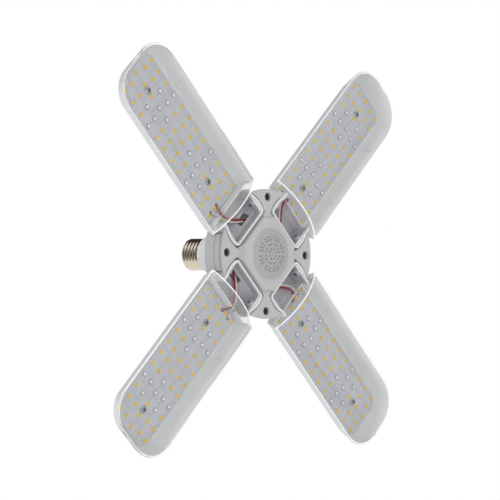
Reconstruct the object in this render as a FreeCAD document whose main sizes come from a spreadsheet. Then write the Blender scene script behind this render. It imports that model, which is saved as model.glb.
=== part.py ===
"""Foldable grow light: a screw-in hub with four LED blades, each on its own hinge.

Every piece is drawn lamp-face up: X points out along the first blade, Y across it, and Z is the depth below
the rim of the screw cap, growing towards the light side. Each finished piece is then turned over, so that
the cap points up and the light shines down, with the origin on the axis at the cap's rim.
"""

import FreeCAD, Part
import math
import os
import re

import Sketcher
from FreeCAD import Placement, Rotation, Vector

SIZES = {
    # Screw cap
    "cap_radius": 13.1,
    "cap_length": 21.0,
    "cap_wall": 0.5,
    "cap_shoulder": 2.0,
    "cap_mouth": 9.5,
    "insulator_rise": 2.5,
    "contact_radius": 5.0,
    "contact_rise": 1.5,
    "contact_stem": 1.5,
    # Rear housing
    "spigot_length": 14.0,
    "collar_radius": 14.7,
    "collar_length": 10.0,
    "drum_radius": 49.6,
    "drum_depth": 16.0,
    "drum_chamfer": 1.0,
    "drum_line_drop": 5.7,
    "drum_line_width": 0.7,
    "drum_line_depth": 0.6,
    "seam_drop": 60.0,
    "housing_wall": 2.0,
    "shelf_drop": 42.0,
    "shelf_width": 3.6,
    "neck_depth": 14.0,
    "lead_port_depth": 9.0,
    "lead_port_from": -13.0,
    "lead_port_to": -6.0,
    # Front cover
    "ear_overhang": 2.1,
    "cover_height": 4.6,
    "lip_height": 1.6,
    "lip_overhang": 3.2,
    "square_half": 25.4,
    "square_rise": 3.0,
    "dome_radius": 24.4,
    "dome_rise": 3.45,
    "notch_half": 21.0,
    "notch_bow": 2.2,
    "notch_straight": 5.85,
    "ear_screw_inset": 6.2,
    "ear_corner_gap": 15.9,
    "ear_corner_run": 1.2,
    "vent_radius": 0.65,
    "vent_inner_ring": 4.1,
    "vent_middle_ring": 7.75,
    "vent_outer_ring": 11.5,
    "vent_rim_ring": 13.8,
    "vent_turn": 22.5,
    "vent_pair_spread": 9.3,
    "vent_spread": 12.7,
    # Ear screws and board screws
    "screw_head_radius": 2.9,
    "screw_head_height": 1.6,
    "screw_shank_radius": 1.4,
    "screw_length": 13.0,
    "screw_recess": 2.0,
    "screw_recess_gap": 0.5,
    "screw_gap": 0.05,
    "board_screw_bite": 1.4,
    # Hinges
    "hinge_inset": 13.7,
    "pin_radius": 1.6,
    "pin_gap": 0.06,
    "pin_seat": 6.5,
    "boss_radius": 3.2,
    "boss_depth": 2.0,
    "trough_gap": 0.5,
    # Yoke: the open box on the inner end of a tray, which lies in a notch of the hub
    "yoke_end_gap": 1.6,
    "yoke_side_gap": 1.3,
    "yoke_rise": 0.6,
    "yoke_wall": 1.6,
    "yoke_corner": 4.0,
    "yoke_flange": 3.2,
    "yoke_heel": 1.5,
    "yoke_heel_drop": 1.4,
    "yoke_shelf": 0.8,
    "lead_slot_depth": 5.2,
    "lead_slot_from": -12.5,
    "lead_slot_to": 0.5,
    "lead_gate_from": 7.0,
    "lead_gate_to": 13.5,
    "lead_gate_depth": 6.0,
    # Blade tray
    "yoke_reach": 13.5,
    "blade_length": 152.0,
    "tray_drop": 11.6,
    "tray_depth": 13.6,
    "floor_half": 25.5,
    "rim_half": 32.5,
    "tip_slope": 7.5,
    "tip_corner": 25.0,
    "floor_corner": 20.5,
    "tray_wall": 1.6,
    "floor_wall": 1.8,
    "end_wall": 1.6,
    # Lens
    "lens_rise": 9.5,
    "lens_wall": 1.6,
    "lens_edge": 1.2,
    "lens_inset": 0.5,
    "lens_dome": 42.0,
    "lens_tab_half": 26.0,
    "lens_tab_drop": 5.0,
    "lens_tab_gap": 0.2,
    "lens_end_gap": 0.4,
    # LED board
    "board_half": 22.0,
    "board_thick": 1.2,
    "board_gap": 0.5,
    "board_tip_gap": 10.5,
    "board_corner": 11.0,
    "led_first": 6.7,
    "led_pitch": 11.6,
    "led_column": 9.4,
    "led_outer_column": 18.2,
    "led_middle_shift": 2.5,
    "led_width": 3.6,
    "led_height": 0.8,
    # Driver and wires
    "driver_gap": 0.4,
    "driver_thick": 1.6,
    "capacitor_radius": 4.0,
    "capacitor_length": 15.0,
    "capacitor_offset": 8.5,
    "choke_radius": 5.5,
    "choke_core": 4.0,
    "choke_flange": 1.5,
    "choke_length": 9.0,
    "choke_offset": 9.0,
    "lead_radius": 0.75,
    "lead_end_gap": 0.3,
    "solder_gap": 0.08,
    "supply_offset": 9.0,
    "supply_drop": 9.0,
    "supply_lean": 26.0,
    "supply_inset": 6.0,
    "live_neck": 1.5,
    "live_straight": 9.5,
    "neutral_shift": 2.0,
    "neutral_neck": 4.0,
    "neutral_end": 6.0,
    "lead_pad_rise": 0.6,
    "lead_gate_run": 4.0,
    "lead_gate_rise": 3.0,
    "lead_neck_rise": 3.4,
    "lead_port_run": 3.0,
    "lead_port_drop": 6.0,
    "lead_tail_run": 7.0,
    "lead_tail_rise": 4.0,
    "red_pad": 5.5,
    "red_gate": 8.6,
    "red_middle": 0.5,
    "red_port": -10.6,
    "red_tail": -10.0,
    "white_pad": 14.5,
    "white_gate": 11.4,
    "white_middle": 3.2,
    "white_port": -8.0,
    "white_tail": -7.0,
    # Overcut that lets a tool pass through a face
    "cut_margin": 1.0,
}

PLACES = {
    "drum_back": "seam_drop - drum_depth",
    "drum_line_front": "seam_drop - drum_line_drop",
    "drum_line_back": "drum_line_front - drum_line_width",
    "drum_line_floor": "drum_radius - drum_line_depth",
    "spigot_radius": "cap_radius - cap_wall",
    "neck_radius": "spigot_radius - housing_wall",
    "ear_radius": "drum_radius + ear_overhang",
    "cavity_radius": "square_half - housing_wall",
    "flare_out": "drum_radius - drum_chamfer",
    "flare_end": "drum_back - drum_chamfer",
    "flare_run": "flare_end - collar_length",
    "flare_step": "flare_out - collar_radius",
    "flare_radius": "(flare_step ^ 2 + flare_run ^ 2) / (2 * flare_step)",
    "ear_front": "seam_drop + cover_height",
    "square_top": "ear_front + square_rise",
    "dome_top": "square_top + dome_rise",
    "dome_bend": "(dome_radius ^ 2 + dome_rise ^ 2) / (2 * dome_rise)",
    "hollow_bend": "(cavity_radius ^ 2 + dome_rise ^ 2) / (2 * dome_rise)",
    "bow_half": "(ear_radius - square_half - notch_straight) / 2",
    "bow_middle": "square_half + bow_half",
    "bow_end": "bow_middle + bow_half",
    "bow_radius": "(bow_half ^ 2 + notch_bow ^ 2) / (2 * notch_bow)",
    "bow_centre": "notch_half + notch_bow - bow_radius",
    "trough_half": "notch_half + notch_bow",
    "ear_screw_circle": "ear_radius - ear_screw_inset",
    "ear_screw_x": "ear_screw_circle * sqrt(0.5)",
    "hinge_reach": "ear_radius - hinge_inset",
    "blade_start": "hinge_reach + yoke_reach",
    "blade_tip": "blade_start + blade_length",
    "tray_back": "seam_drop - tray_drop",
    "tray_floor": "tray_back + floor_wall",
    "tray_rim": "tray_back + tray_depth",
    "trough_floor": "tray_back - trough_gap",
    "yoke_start": "square_half + yoke_end_gap",
    "yoke_half": "notch_half - yoke_side_gap",
    "yoke_rim": "ear_front + yoke_rise",
    "yoke_heel_start": "hinge_reach - yoke_heel",
    "yoke_heel_top": "seam_drop - yoke_heel_drop",
    "boss_face": "yoke_half - yoke_wall - boss_depth",
    "lens_half": "rim_half - lens_inset",
    "lens_tip": "blade_tip - lens_inset",
    "lens_corner": "tip_corner - lens_inset",
    "lens_top": "tray_rim + lens_rise",
    "lens_tab_foot": "tray_rim - lens_tab_drop",
    "board_start": "blade_start + end_wall + board_gap",
    "board_end": "blade_tip - board_tip_gap",
    "board_top": "tray_floor + board_thick",
    "board_screw_near": "blade_start + led_first + led_middle_shift + 1.5 * led_pitch",
    "board_screw_far": "board_screw_near + 8 * led_pitch",
    "driver_radius": "cavity_radius - driver_gap",
}

# LEDs of a column from the hinge to the tip: w is warm, c is clear
OUTER_LEDS = "wwwcwwwwcwww"
INNER_LEDS = "wwccwwwwccww"
MIDDLE_LEDS = "wwwccwwccwww"
BLADE_COUNT = 4
VENT_SECTORS = 8
# Share of the shorter neighbouring run that a bend of a wire takes up
BEND_SHARE = 0.45

doc = FreeCAD.newDocument("FoldableGrowLight")


def bound(formula, own=""):
    """Return a formula with each name pointing at the sheet that holds it."""

    def with_sheet(found):
        name = found.group(0)
        for sheet_name, rows in (("Sizes", SIZES), ("Places", PLACES)):
            if name in rows:
                return name if sheet_name == own else f"{sheet_name}.{name}"
        return name

    return re.sub(r"[A-Za-z_]\w*", with_sheet, str(formula))


def make_sheet(name, rows):
    """Make a sheet with one named cell per row."""
    sheet = doc.addObject("Spreadsheet::Sheet", name)
    for row, (alias, content) in enumerate(rows.items(), start=1):
        sheet.set(f"A{row}", alias)
        sheet.set(f"B{row}", content)
        sheet.setAlias(f"B{row}", alias)
    doc.recompute()
    return sheet


make_sheet("Sizes", {name: str(value) for name, value in SIZES.items()})
places = make_sheet("Places", {name: "=" + bound(formula, "Places") for name, formula in PLACES.items()})


def number(formula):
    """Work a formula out as a plain number."""
    return float(places.evalExpression(bound(formula, "Places")))


def bind(item, **formulas):
    """Tie properties of an object to formulas of the sheets."""
    for prop, formula in formulas.items():
        item.setExpression(prop, bound(formula))


def constrain(sketch, kind, *where, formula):
    """Add one dimension to a sketch and tie it to a formula."""
    index = sketch.addConstraint(Sketcher.Constraint(kind, *where, number(formula)))
    sketch.setExpression(f"Constraints[{index}]", bound(formula))


def arc_between(start, end, radius):
    """Return the arc from start to end, counter-clockwise for a positive radius."""
    if radius < 0:
        start, end = end, start
    size = abs(radius)
    chord = end - start
    rise = math.sqrt(max(size**2 - (chord.Length / 2) ** 2, 0.0))
    left = Vector(-chord.y, chord.x, 0).normalize()
    centre = (start + end) / 2 + left * rise
    first = math.atan2(start.y - centre.y, start.x - centre.x)
    last = math.atan2(end.y - centre.y, end.x - centre.x)
    return Part.ArcOfCircle(Part.Circle(centre, Vector(0, 0, 1), size), first, last)


def outline(sketch, *corners):
    """Draw a closed outline through corners given as formulas.

    A corner is (x, y), or (x, y, radius, turn) when an arc leaves it.
    Turn 1 is counter-clockwise, -1 is clockwise.
    """
    points = [Vector(number(corner[0]), number(corner[1]), 0) for corner in corners]
    starts = []
    ends = []
    for index, corner in enumerate(corners):
        here = points[index]
        following = points[(index + 1) % len(points)]
        if len(corner) == 2:
            sketch.addGeometry(Part.LineSegment(here, following), False)
            turn = 1
        else:
            turn = corner[3]
            sketch.addGeometry(arc_between(here, following, turn * number(corner[2])), False)
        starts.append(1 if turn > 0 else 2)
        ends.append(2 if turn > 0 else 1)
    for index, corner in enumerate(corners):
        before = index - 1 if index else len(corners) - 1
        joint = Sketcher.Constraint("Coincident", before, ends[before], index, starts[index])
        sketch.addConstraint(joint)
        constrain(sketch, "DistanceX", -1, 1, index, starts[index], formula=corner[0])
        constrain(sketch, "DistanceY", -1, 1, index, starts[index], formula=corner[1])
        if len(corner) > 2:
            constrain(sketch, "Radius", index, formula=corner[2])


def rectangle(sketch, left, bottom, right, top):
    """Draw a rectangle between two corners."""
    outline(sketch, (left, bottom), (right, bottom), (right, top), (left, top))


def circle(sketch, x, y, radius):
    """Draw a circle."""
    shape = Part.Circle(Vector(number(x), number(y), 0), Vector(0, 0, 1), number(radius))
    index = sketch.addGeometry(shape, False)
    constrain(sketch, "DistanceX", -1, 1, index, 3, formula=x)
    constrain(sketch, "DistanceY", -1, 1, index, 3, formula=y)
    constrain(sketch, "Radius", index, formula=radius)


class PieceBody:
    """A PartDesign body that is built up feature by feature."""

    def __init__(self, name):
        self.name = name
        self.count = 0
        self.body = doc.addObject("PartDesign::Body", name)
        self.body.AllowCompound = True

    def origin(self, role):
        """Return one of the body's own origin planes or axes."""
        return next(item for item in self.body.Origin.OriginFeatures if item.Role == role)

    def sketch(self, plane, level="0", across="0"):
        """Make a sketch on an origin plane, lifted by level and moved sideways by across."""
        self.count += 1
        sketch = self.body.newObject("Sketcher::SketchObject", f"{self.name}_sketch_{self.count}")
        sketch.AttachmentSupport = [(self.origin(plane), "")]
        sketch.MapMode = "FlatFace"
        sketch.setExpression("AttachmentOffset.Base.z", bound(level))
        sketch.setExpression("AttachmentOffset.Base.x", bound(across))
        return sketch

    def feature(self, kind, sketch):
        """Make a feature of a kind from a sketch."""
        self.count += 1
        item = self.body.newObject(f"PartDesign::{kind}", f"{self.name}_{kind.lower()}_{self.count}")
        item.Profile = sketch
        sketch.Visibility = False
        return item

    def turn(self, kind, sketch):
        """Revolve a sketch about its own upright axis, as a Revolution or a Groove."""
        item = self.feature(kind, sketch)
        item.ReferenceAxis = (sketch, ["V_Axis"])
        item.Angle = 360
        doc.recompute()
        return item

    def extrude(self, kind, sketch, length, both_sides=False, backwards=False):
        """Pad or pocket a sketch by a length."""
        item = self.feature(kind, sketch)
        item.SideType = "Symmetric" if both_sides else "One side"
        item.Reversed = backwards
        bind(item, Length=length)
        before = self.body.Shape.Volume if kind == "Pocket" else 0.0
        doc.recompute()
        if kind == "Pocket" and self.body.Shape.Volume >= before - 1e-6:
            raise RuntimeError(f"{item.Name} cuts nothing")
        return item

    def around(self, features, copies):
        """Repeat features round the Z axis."""
        item = self.body.newObject("PartDesign::PolarPattern", f"{self.name}_pattern_{self.count}")
        item.Originals = features
        item.Axis = (self.origin("Z_Axis"), [""])
        item.Angle = 360
        item.Occurrences = copies
        self.body.Tip = item
        doc.recompute()
        return item


def turned_over(quarter=0.0):
    """Return the placement that turns a piece over and then to its quarter of the lamp."""
    over = Rotation(Vector(1, 0, 0), 180)
    return Placement(Vector(0, 0, 0), Rotation(Vector(0, 0, 1), 90 * quarter).multiply(over))


def lead_shape(points, radius):
    """Return a round wire along straight runs joined by tangent arcs, and its bend radii."""
    edges = []
    radii = []
    start = points[0]
    for before, corner, after in zip(points, points[1:], points[2:]):
        arriving = corner - before
        leaving = after - corner
        reach = BEND_SHARE * min(arriving.Length, leaving.Length)
        half_turn = arriving.getAngle(leaving) / 2
        bend = reach / math.tan(half_turn)
        arriving.normalize()
        leaving.normalize()
        inwards = (leaving - arriving).normalize()
        enter = corner - arriving * reach
        leave = corner + leaving * reach
        middle = corner + inwards * (math.hypot(reach, bend) - bend)
        edges.append(Part.LineSegment(start, enter).toShape())
        edges.append(Part.Arc(enter, middle, leave).toShape())
        radii.append(bend)
        start = leave
    edges.append(Part.LineSegment(start, points[-1]).toShape())
    path = Part.Wire(edges)
    section = Part.Wire(Part.makeCircle(radius, points[0], points[1] - points[0]))
    tube = path.makePipeShell([section], True, False)
    expected = math.pi * radius**2 * path.Length
    if abs(tube.Volume - expected) > 0.01 * expected:
        raise RuntimeError("a lead came out with the wrong volume")
    return tube, radii


def route(*corners):
    """Turn corners given as formulas into points."""
    return [Vector(number(x), number(y), number(z)) for x, y, z in corners]


pieces = []


def hand_in(item, label):
    """Give a finished piece its name and list it."""
    item.Label = label
    pieces.append(item)


def make_cap():
    """Screw shell, insulating ring and centre contact."""
    shell = PieceBody("CapShell")
    sketch = shell.sketch("XZ_Plane")
    outline(
        sketch,
        ("spigot_radius", "0"),
        ("cap_radius", "0"),
        ("cap_radius", "cap_shoulder - cap_length"),
        ("cap_mouth + cap_wall", "-cap_length"),
        ("cap_mouth", "-cap_length"),
        ("cap_mouth", "cap_wall - cap_length"),
        ("spigot_radius", "cap_shoulder - cap_length"),
    )
    shell.turn("Revolution", sketch)

    ring = PieceBody("CapInsulator")
    sketch = ring.sketch("XZ_Plane")
    outline(
        sketch,
        ("contact_stem", "cap_shoulder / 2 - cap_length"),
        ("cap_mouth", "cap_shoulder / 2 - cap_length"),
        ("cap_mouth", "-cap_length"),
        ("cap_mouth + cap_wall", "-cap_length"),
        ("contact_radius + cap_wall", "-cap_length - insulator_rise"),
        ("contact_stem", "-cap_length - insulator_rise"),
    )
    ring.turn("Revolution", sketch)

    contact = PieceBody("CapContact")
    sketch = contact.sketch("XZ_Plane")
    outline(
        sketch,
        ("0", "cap_shoulder - cap_length"),
        ("contact_stem", "cap_shoulder - cap_length"),
        ("contact_stem", "-cap_length - insulator_rise"),
        ("contact_radius", "-cap_length - insulator_rise"),
        ("contact_radius - contact_rise", "-cap_length - insulator_rise - contact_rise"),
        ("0", "-cap_length - insulator_rise - contact_rise"),
    )
    contact.turn("Revolution", sketch)
    for piece, label in ((shell, "cap_shell"), (ring, "cap_insulator"), (contact, "cap_contact")):
        piece.body.Placement = turned_over()
        hand_in(piece.body, label)


def cut_saddle(piece):
    """Cut the half-round seats of one blade's hinge pins into a housing."""
    sketch = piece.sketch("XZ_Plane")
    circle(sketch, "hinge_reach", "seam_drop", "pin_radius")
    return piece.extrude("Pocket", sketch, "2 * (notch_half + pin_seat)", both_sides=True)


def cut_ear_hole(piece, level, radius, depth):
    """Cut one round hole on an ear screw's axis."""
    sketch = piece.sketch("XY_Plane", level)
    circle(sketch, "ear_screw_x", "ear_screw_x", radius)
    return piece.extrude("Pocket", sketch, depth)


def make_rear_housing():
    """Collar, flare and drum with a shadow line, and a trough, pin seats and a lead port for each blade."""
    housing = PieceBody("RearHousing")
    sketch = housing.sketch("XZ_Plane")
    outline(
        sketch,
        ("spigot_radius", "-spigot_length"),
        ("spigot_radius", "0"),
        ("collar_radius", "0"),
        ("collar_radius", "collar_length", "flare_radius", -1),
        ("flare_out", "flare_end"),
        ("drum_radius", "drum_back"),
        ("drum_radius", "drum_line_back"),
        ("drum_line_floor", "drum_line_back"),
        ("drum_line_floor", "drum_line_front"),
        ("drum_radius", "drum_line_front"),
        ("drum_radius", "seam_drop"),
        ("cavity_radius", "seam_drop"),
        ("cavity_radius", "shelf_drop"),
        ("cavity_radius - shelf_width", "shelf_drop"),
        ("neck_radius", "neck_depth"),
        ("neck_radius", "-spigot_length"),
    )
    housing.turn("Revolution", sketch)

    sketch = housing.sketch("XY_Plane", "seam_drop")
    rectangle(sketch, "square_half", "-trough_half", "drum_radius + cut_margin", "trough_half")
    trough = housing.extrude("Pocket", sketch, "seam_drop - trough_floor")

    sketch = housing.sketch("XY_Plane", "seam_drop")
    rectangle(
        sketch,
        "cavity_radius / 2",
        "lead_port_from",
        "square_half + cut_margin",
        "lead_port_to",
    )
    port = housing.extrude("Pocket", sketch, "lead_port_depth")

    hole_depth = "screw_length - cover_height + screw_recess + housing_wall / 2"
    hole = cut_ear_hole(housing, "seam_drop", "screw_shank_radius + screw_gap", hole_depth)
    housing.around([trough, port, cut_saddle(housing), hole], BLADE_COUNT)
    housing.body.Placement = turned_over()
    hand_in(housing.body, "hub_rear_housing")


def make_front_cover():
    """Four ears round a raised square, with a vented dome in the middle and a notch for each blade."""
    cover = PieceBody("FrontCover")
    sketch = cover.sketch("XY_Plane", "seam_drop")
    circle(sketch, "0", "0", "ear_radius")
    cover.extrude("Pad", sketch, "cover_height")

    sketch = cover.sketch("XZ_Plane")
    rectangle(
        sketch,
        "ear_radius - lip_overhang",
        "seam_drop",
        "ear_radius + cut_margin",
        "ear_front - lip_height",
    )
    cover.turn("Groove", sketch)

    sketch = cover.sketch("XY_Plane", "ear_front")
    rectangle(sketch, "-square_half", "-square_half", "square_half", "square_half")
    cover.extrude("Pad", sketch, "square_rise")

    sketch = cover.sketch("XZ_Plane")
    outline(
        sketch,
        ("0", "square_top"),
        ("dome_radius", "square_top", "dome_bend", 1),
        ("0", "dome_top"),
    )
    cover.turn("Revolution", sketch)

    sketch = cover.sketch("XZ_Plane")
    outline(
        sketch,
        ("0", "seam_drop"),
        ("cavity_radius", "seam_drop"),
        ("cavity_radius", "square_top - housing_wall", "hollow_bend", 1),
        ("0", "dome_top - housing_wall"),
    )
    cover.turn("Groove", sketch)

    corner = cut_ear_hole(cover, "square_top", "ear_corner_gap + ear_corner_run", "square_rise")
    bind(corner, TaperAngle="-atan(ear_corner_run / square_rise)")
    doc.recompute()
    sketch = cover.sketch("XY_Plane", "ear_front")
    outline(
        sketch,
        ("square_half", "-notch_half", "bow_radius", 1),
        ("bow_end", "-notch_half"),
        ("ear_radius + cut_margin", "-notch_half"),
        ("ear_radius + cut_margin", "notch_half"),
        ("bow_end", "notch_half", "bow_radius", 1),
        ("square_half", "notch_half"),
    )
    notch = cover.extrude("Pocket", sketch, "cover_height")
    hole = cut_ear_hole(cover, "ear_front", "screw_shank_radius + screw_gap", "cover_height")
    recess = cut_ear_hole(cover, "ear_front", "screw_head_radius + screw_recess_gap", "screw_recess")
    cover.around([corner, notch, hole, recess, cut_saddle(cover)], BLADE_COUNT)
    cut_vents(cover)
    cover.body.Placement = turned_over()
    hand_in(cover.body, "hub_front_cover")


def cut_vents(cover):
    """Cut the vent holes of one sector of the dome and repeat them round it."""
    sketch = cover.sketch("XY_Plane", "dome_top")
    for ring, turns in (
        ("vent_inner_ring", ("0",)),
        ("vent_middle_ring", ("-vent_pair_spread", "vent_pair_spread")),
        ("vent_outer_ring", ("-vent_spread", "0", "vent_spread")),
        ("vent_rim_ring", ("-vent_spread", "0", "vent_spread")),
    ):
        for turn in turns:
            angle = f"vent_turn + {turn}"
            circle(sketch, f"{ring} * cos({angle})", f"{ring} * sin({angle})", "vent_radius")
    vents = cover.extrude("Pocket", sketch, "dome_rise + housing_wall")
    cover.around([vents], VENT_SECTORS)


def make_screw(name, seat, length, across):
    """Make a round-headed screw whose head sits at a depth, pointing back towards the cap."""
    screw = PieceBody(name)
    sketch = screw.sketch("XZ_Plane", across=across)
    outline(
        sketch,
        ("0", f"{seat} - {length}"),
        ("screw_shank_radius", f"{seat} - {length}"),
        ("screw_shank_radius", seat),
        ("screw_head_radius", seat),
        ("screw_head_radius", f"{seat} + screw_head_height / 2"),
        ("screw_head_radius - screw_head_height / 2", f"{seat} + screw_head_height"),
        ("0", f"{seat} + screw_head_height"),
    )
    return screw, screw.turn("Revolution", sketch)


def make_hub_screws():
    """Four screws that clamp the cover and the hinge pins to the rear housing."""
    screw, feature = make_screw("EarScrew", "ear_front - screw_recess", "screw_length", "ear_screw_circle")
    screw.around([feature], BLADE_COUNT)
    screw.body.Placement = turned_over(0.5)
    hand_in(screw.body, "hub_screws")


def make_driver():
    """Round driver board on the housing's shelf, with its capacitor, choke and supply wires."""
    board = PieceBody("DriverBoard")
    sketch = board.sketch("XY_Plane", "shelf_drop")
    circle(sketch, "0", "0", "driver_radius")
    board.extrude("Pad", sketch, "driver_thick")

    capacitor = PieceBody("Capacitor")
    sketch = capacitor.sketch("XY_Plane", "shelf_drop")
    circle(sketch, "capacitor_offset", "0", "capacitor_radius")
    capacitor.extrude("Pad", sketch, "capacitor_length", backwards=True)

    choke = PieceBody("Choke")
    sketch = choke.sketch("XZ_Plane", across="-choke_offset")
    outline(
        sketch,
        ("0", "shelf_drop - choke_length"),
        ("choke_radius", "shelf_drop - choke_length"),
        ("choke_radius", "shelf_drop - choke_length + choke_flange"),
        ("choke_core", "shelf_drop - choke_length + choke_flange"),
        ("choke_core", "shelf_drop - choke_flange"),
        ("choke_radius", "shelf_drop - choke_flange"),
        ("choke_radius", "shelf_drop"),
        ("0", "shelf_drop"),
    )
    choke.turn("Revolution", sketch)
    for piece, label in (
        (board, "driver_board"),
        (capacitor, "driver_capacitor"),
        (choke, "driver_choke"),
    ):
        piece.body.Placement = turned_over()
        hand_in(piece.body, label)

    live = route(
        ("0", "-supply_offset", "shelf_drop"),
        ("0", "-supply_offset", "shelf_drop - supply_drop"),
        ("0", "-supply_inset", "shelf_drop - supply_lean"),
        ("0", "-live_neck", "-cut_margin"),
        ("0", "0", "-live_straight"),
        ("0", "0", "cap_shoulder - cap_length"),
    )
    solder = "-spigot_length - 3 * lead_radius"
    neutral = route(
        ("0", "supply_offset", "shelf_drop"),
        ("0", "supply_offset", "shelf_drop - supply_drop"),
        ("neutral_shift", "supply_inset", "shelf_drop - supply_lean"),
        ("neutral_neck", "neutral_shift", "-cut_margin"),
        ("neutral_neck + lead_radius", "lead_end_gap", "neutral_shift - spigot_length"),
        ("neutral_end", "0", solder),
        ("spigot_radius - solder_gap", "0", solder),
    )
    for points, label in ((live, "live_lead"), (neutral, "neutral_lead")):
        item = doc.addObject("Part::Feature", label)
        item.Shape, radii = lead_shape(points, number("lead_radius"))
        item.Placement = turned_over()
        print(label, "bend radii", [round(radius, 1) for radius in radii])
        hand_in(item, label)


def tray_outline(sketch, half, tip, corner, start):
    """Draw the plan of a blade: a straight inner end, straight sides and a rounded tip."""
    outline(
        sketch,
        (start, f"-({half})"),
        (f"{tip} - ({corner})", f"-({half})", corner, 1),
        (tip, f"{corner} - ({half})"),
        (tip, f"({half}) - ({corner})", corner, 1),
        (f"{tip} - ({corner})", half),
        (start, half),
    )


def box_outline(sketch, start, half, corner, end):
    """Draw the plan of a yoke's box: a straight-sided end with two rounded corners."""
    outline(
        sketch,
        (f"{start} + {corner}", f"-{half}"),
        (end, f"-{half}"),
        (end, half),
        (f"{start} + {corner}", half, corner, 1),
        (start, f"{half} - {corner}"),
        (start, f"{corner} - {half}", corner, 1),
    )


def flange_outline(sketch, start, inset, corner, end):
    """Draw the plan of a yoke's flange, whose sides keep a distance from the bowed sides of the notch."""
    bend = f"(bow_radius - {inset})"
    turn = f"({start} + {corner})"
    near = f"(bow_centre + sqrt({bend} ^ 2 - ({turn} - bow_middle) ^ 2))"
    far = f"(bow_centre + sqrt({bend} ^ 2 - bow_half ^ 2))"
    outline(
        sketch,
        (turn, f"-{near}", bend, 1),
        ("bow_end", f"-{far}"),
        (end, f"-{far}"),
        (end, far),
        ("bow_end", far, bend, 1),
        (turn, near, corner, 1),
        (start, f"{near} - {corner}"),
        (start, f"{corner} - {near}", corner, 1),
    )


def add_yoke(tray):
    """Add the yoke to a tray: an open box with a bowed flange, a sloped heel, pin bosses and a lead slot."""
    outer_end = "blade_start + end_wall / 2"
    inner_half = "(yoke_half - yoke_wall)"
    inner_start = "(yoke_start + yoke_wall)"
    inner_corner = "(yoke_corner - yoke_wall)"
    sketch = tray.sketch("XY_Plane", "tray_back")
    box_outline(sketch, "yoke_start", "yoke_half", "yoke_corner", outer_end)
    tray.extrude("Pad", sketch, "yoke_rim - tray_back")
    sketch = tray.sketch("XY_Plane", "yoke_rim - yoke_flange")
    flange_outline(sketch, "yoke_start", "yoke_side_gap", "yoke_corner", "blade_start - lens_end_gap")
    tray.extrude("Pad", sketch, "yoke_flange")

    sketch = tray.sketch("XZ_Plane")
    outline(
        sketch,
        ("yoke_start - cut_margin", "tray_back - cut_margin"),
        ("yoke_heel_start", "tray_back - cut_margin"),
        ("yoke_heel_start", "tray_back"),
        ("yoke_start", "yoke_heel_top"),
        ("yoke_start - cut_margin", "yoke_heel_top"),
    )
    tray.extrude("Pocket", sketch, "2 * trough_half", both_sides=True)

    sketch = tray.sketch("XY_Plane", "yoke_rim")
    flange_outline(sketch, inner_start, "(yoke_side_gap + yoke_wall)", inner_corner, "blade_start")
    tray.extrude("Pocket", sketch, "yoke_flange / 2")
    sketch = tray.sketch("XY_Plane", "yoke_rim")
    box_outline(sketch, inner_start, inner_half, inner_corner, "blade_start")
    tray.extrude("Pocket", sketch, "yoke_rim - yoke_heel_top")
    sketch = tray.sketch("XZ_Plane")
    outline(
        sketch,
        (f"{inner_start} + yoke_shelf", "yoke_heel_top"),
        ("yoke_heel_start + yoke_shelf", "tray_floor"),
        ("blade_start", "tray_floor"),
        ("blade_start", "yoke_heel_top"),
    )
    tray.extrude("Pocket", sketch, f"2 * {inner_half}", both_sides=True)

    sketch = tray.sketch("XZ_Plane")
    circle(sketch, "hinge_reach", "seam_drop", "boss_radius")
    tray.extrude("Pad", sketch, f"2 * {inner_half} + yoke_wall", both_sides=True)
    sketch = tray.sketch("XZ_Plane")
    circle(sketch, "hinge_reach", "seam_drop", "boss_radius")
    tray.extrude("Pocket", sketch, "2 * boss_face", both_sides=True)
    sketch = tray.sketch("XZ_Plane")
    circle(sketch, "hinge_reach", "seam_drop", "pin_radius + pin_gap")
    tray.extrude("Pocket", sketch, "2 * trough_half", both_sides=True)

    sketch = tray.sketch("XY_Plane", "lens_tab_foot")
    rectangle(
        sketch,
        "yoke_start - cut_margin",
        "lead_slot_from",
        "yoke_heel_start + yoke_shelf",
        "lead_slot_to",
    )
    tray.extrude("Pocket", sketch, "lead_slot_depth")


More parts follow.
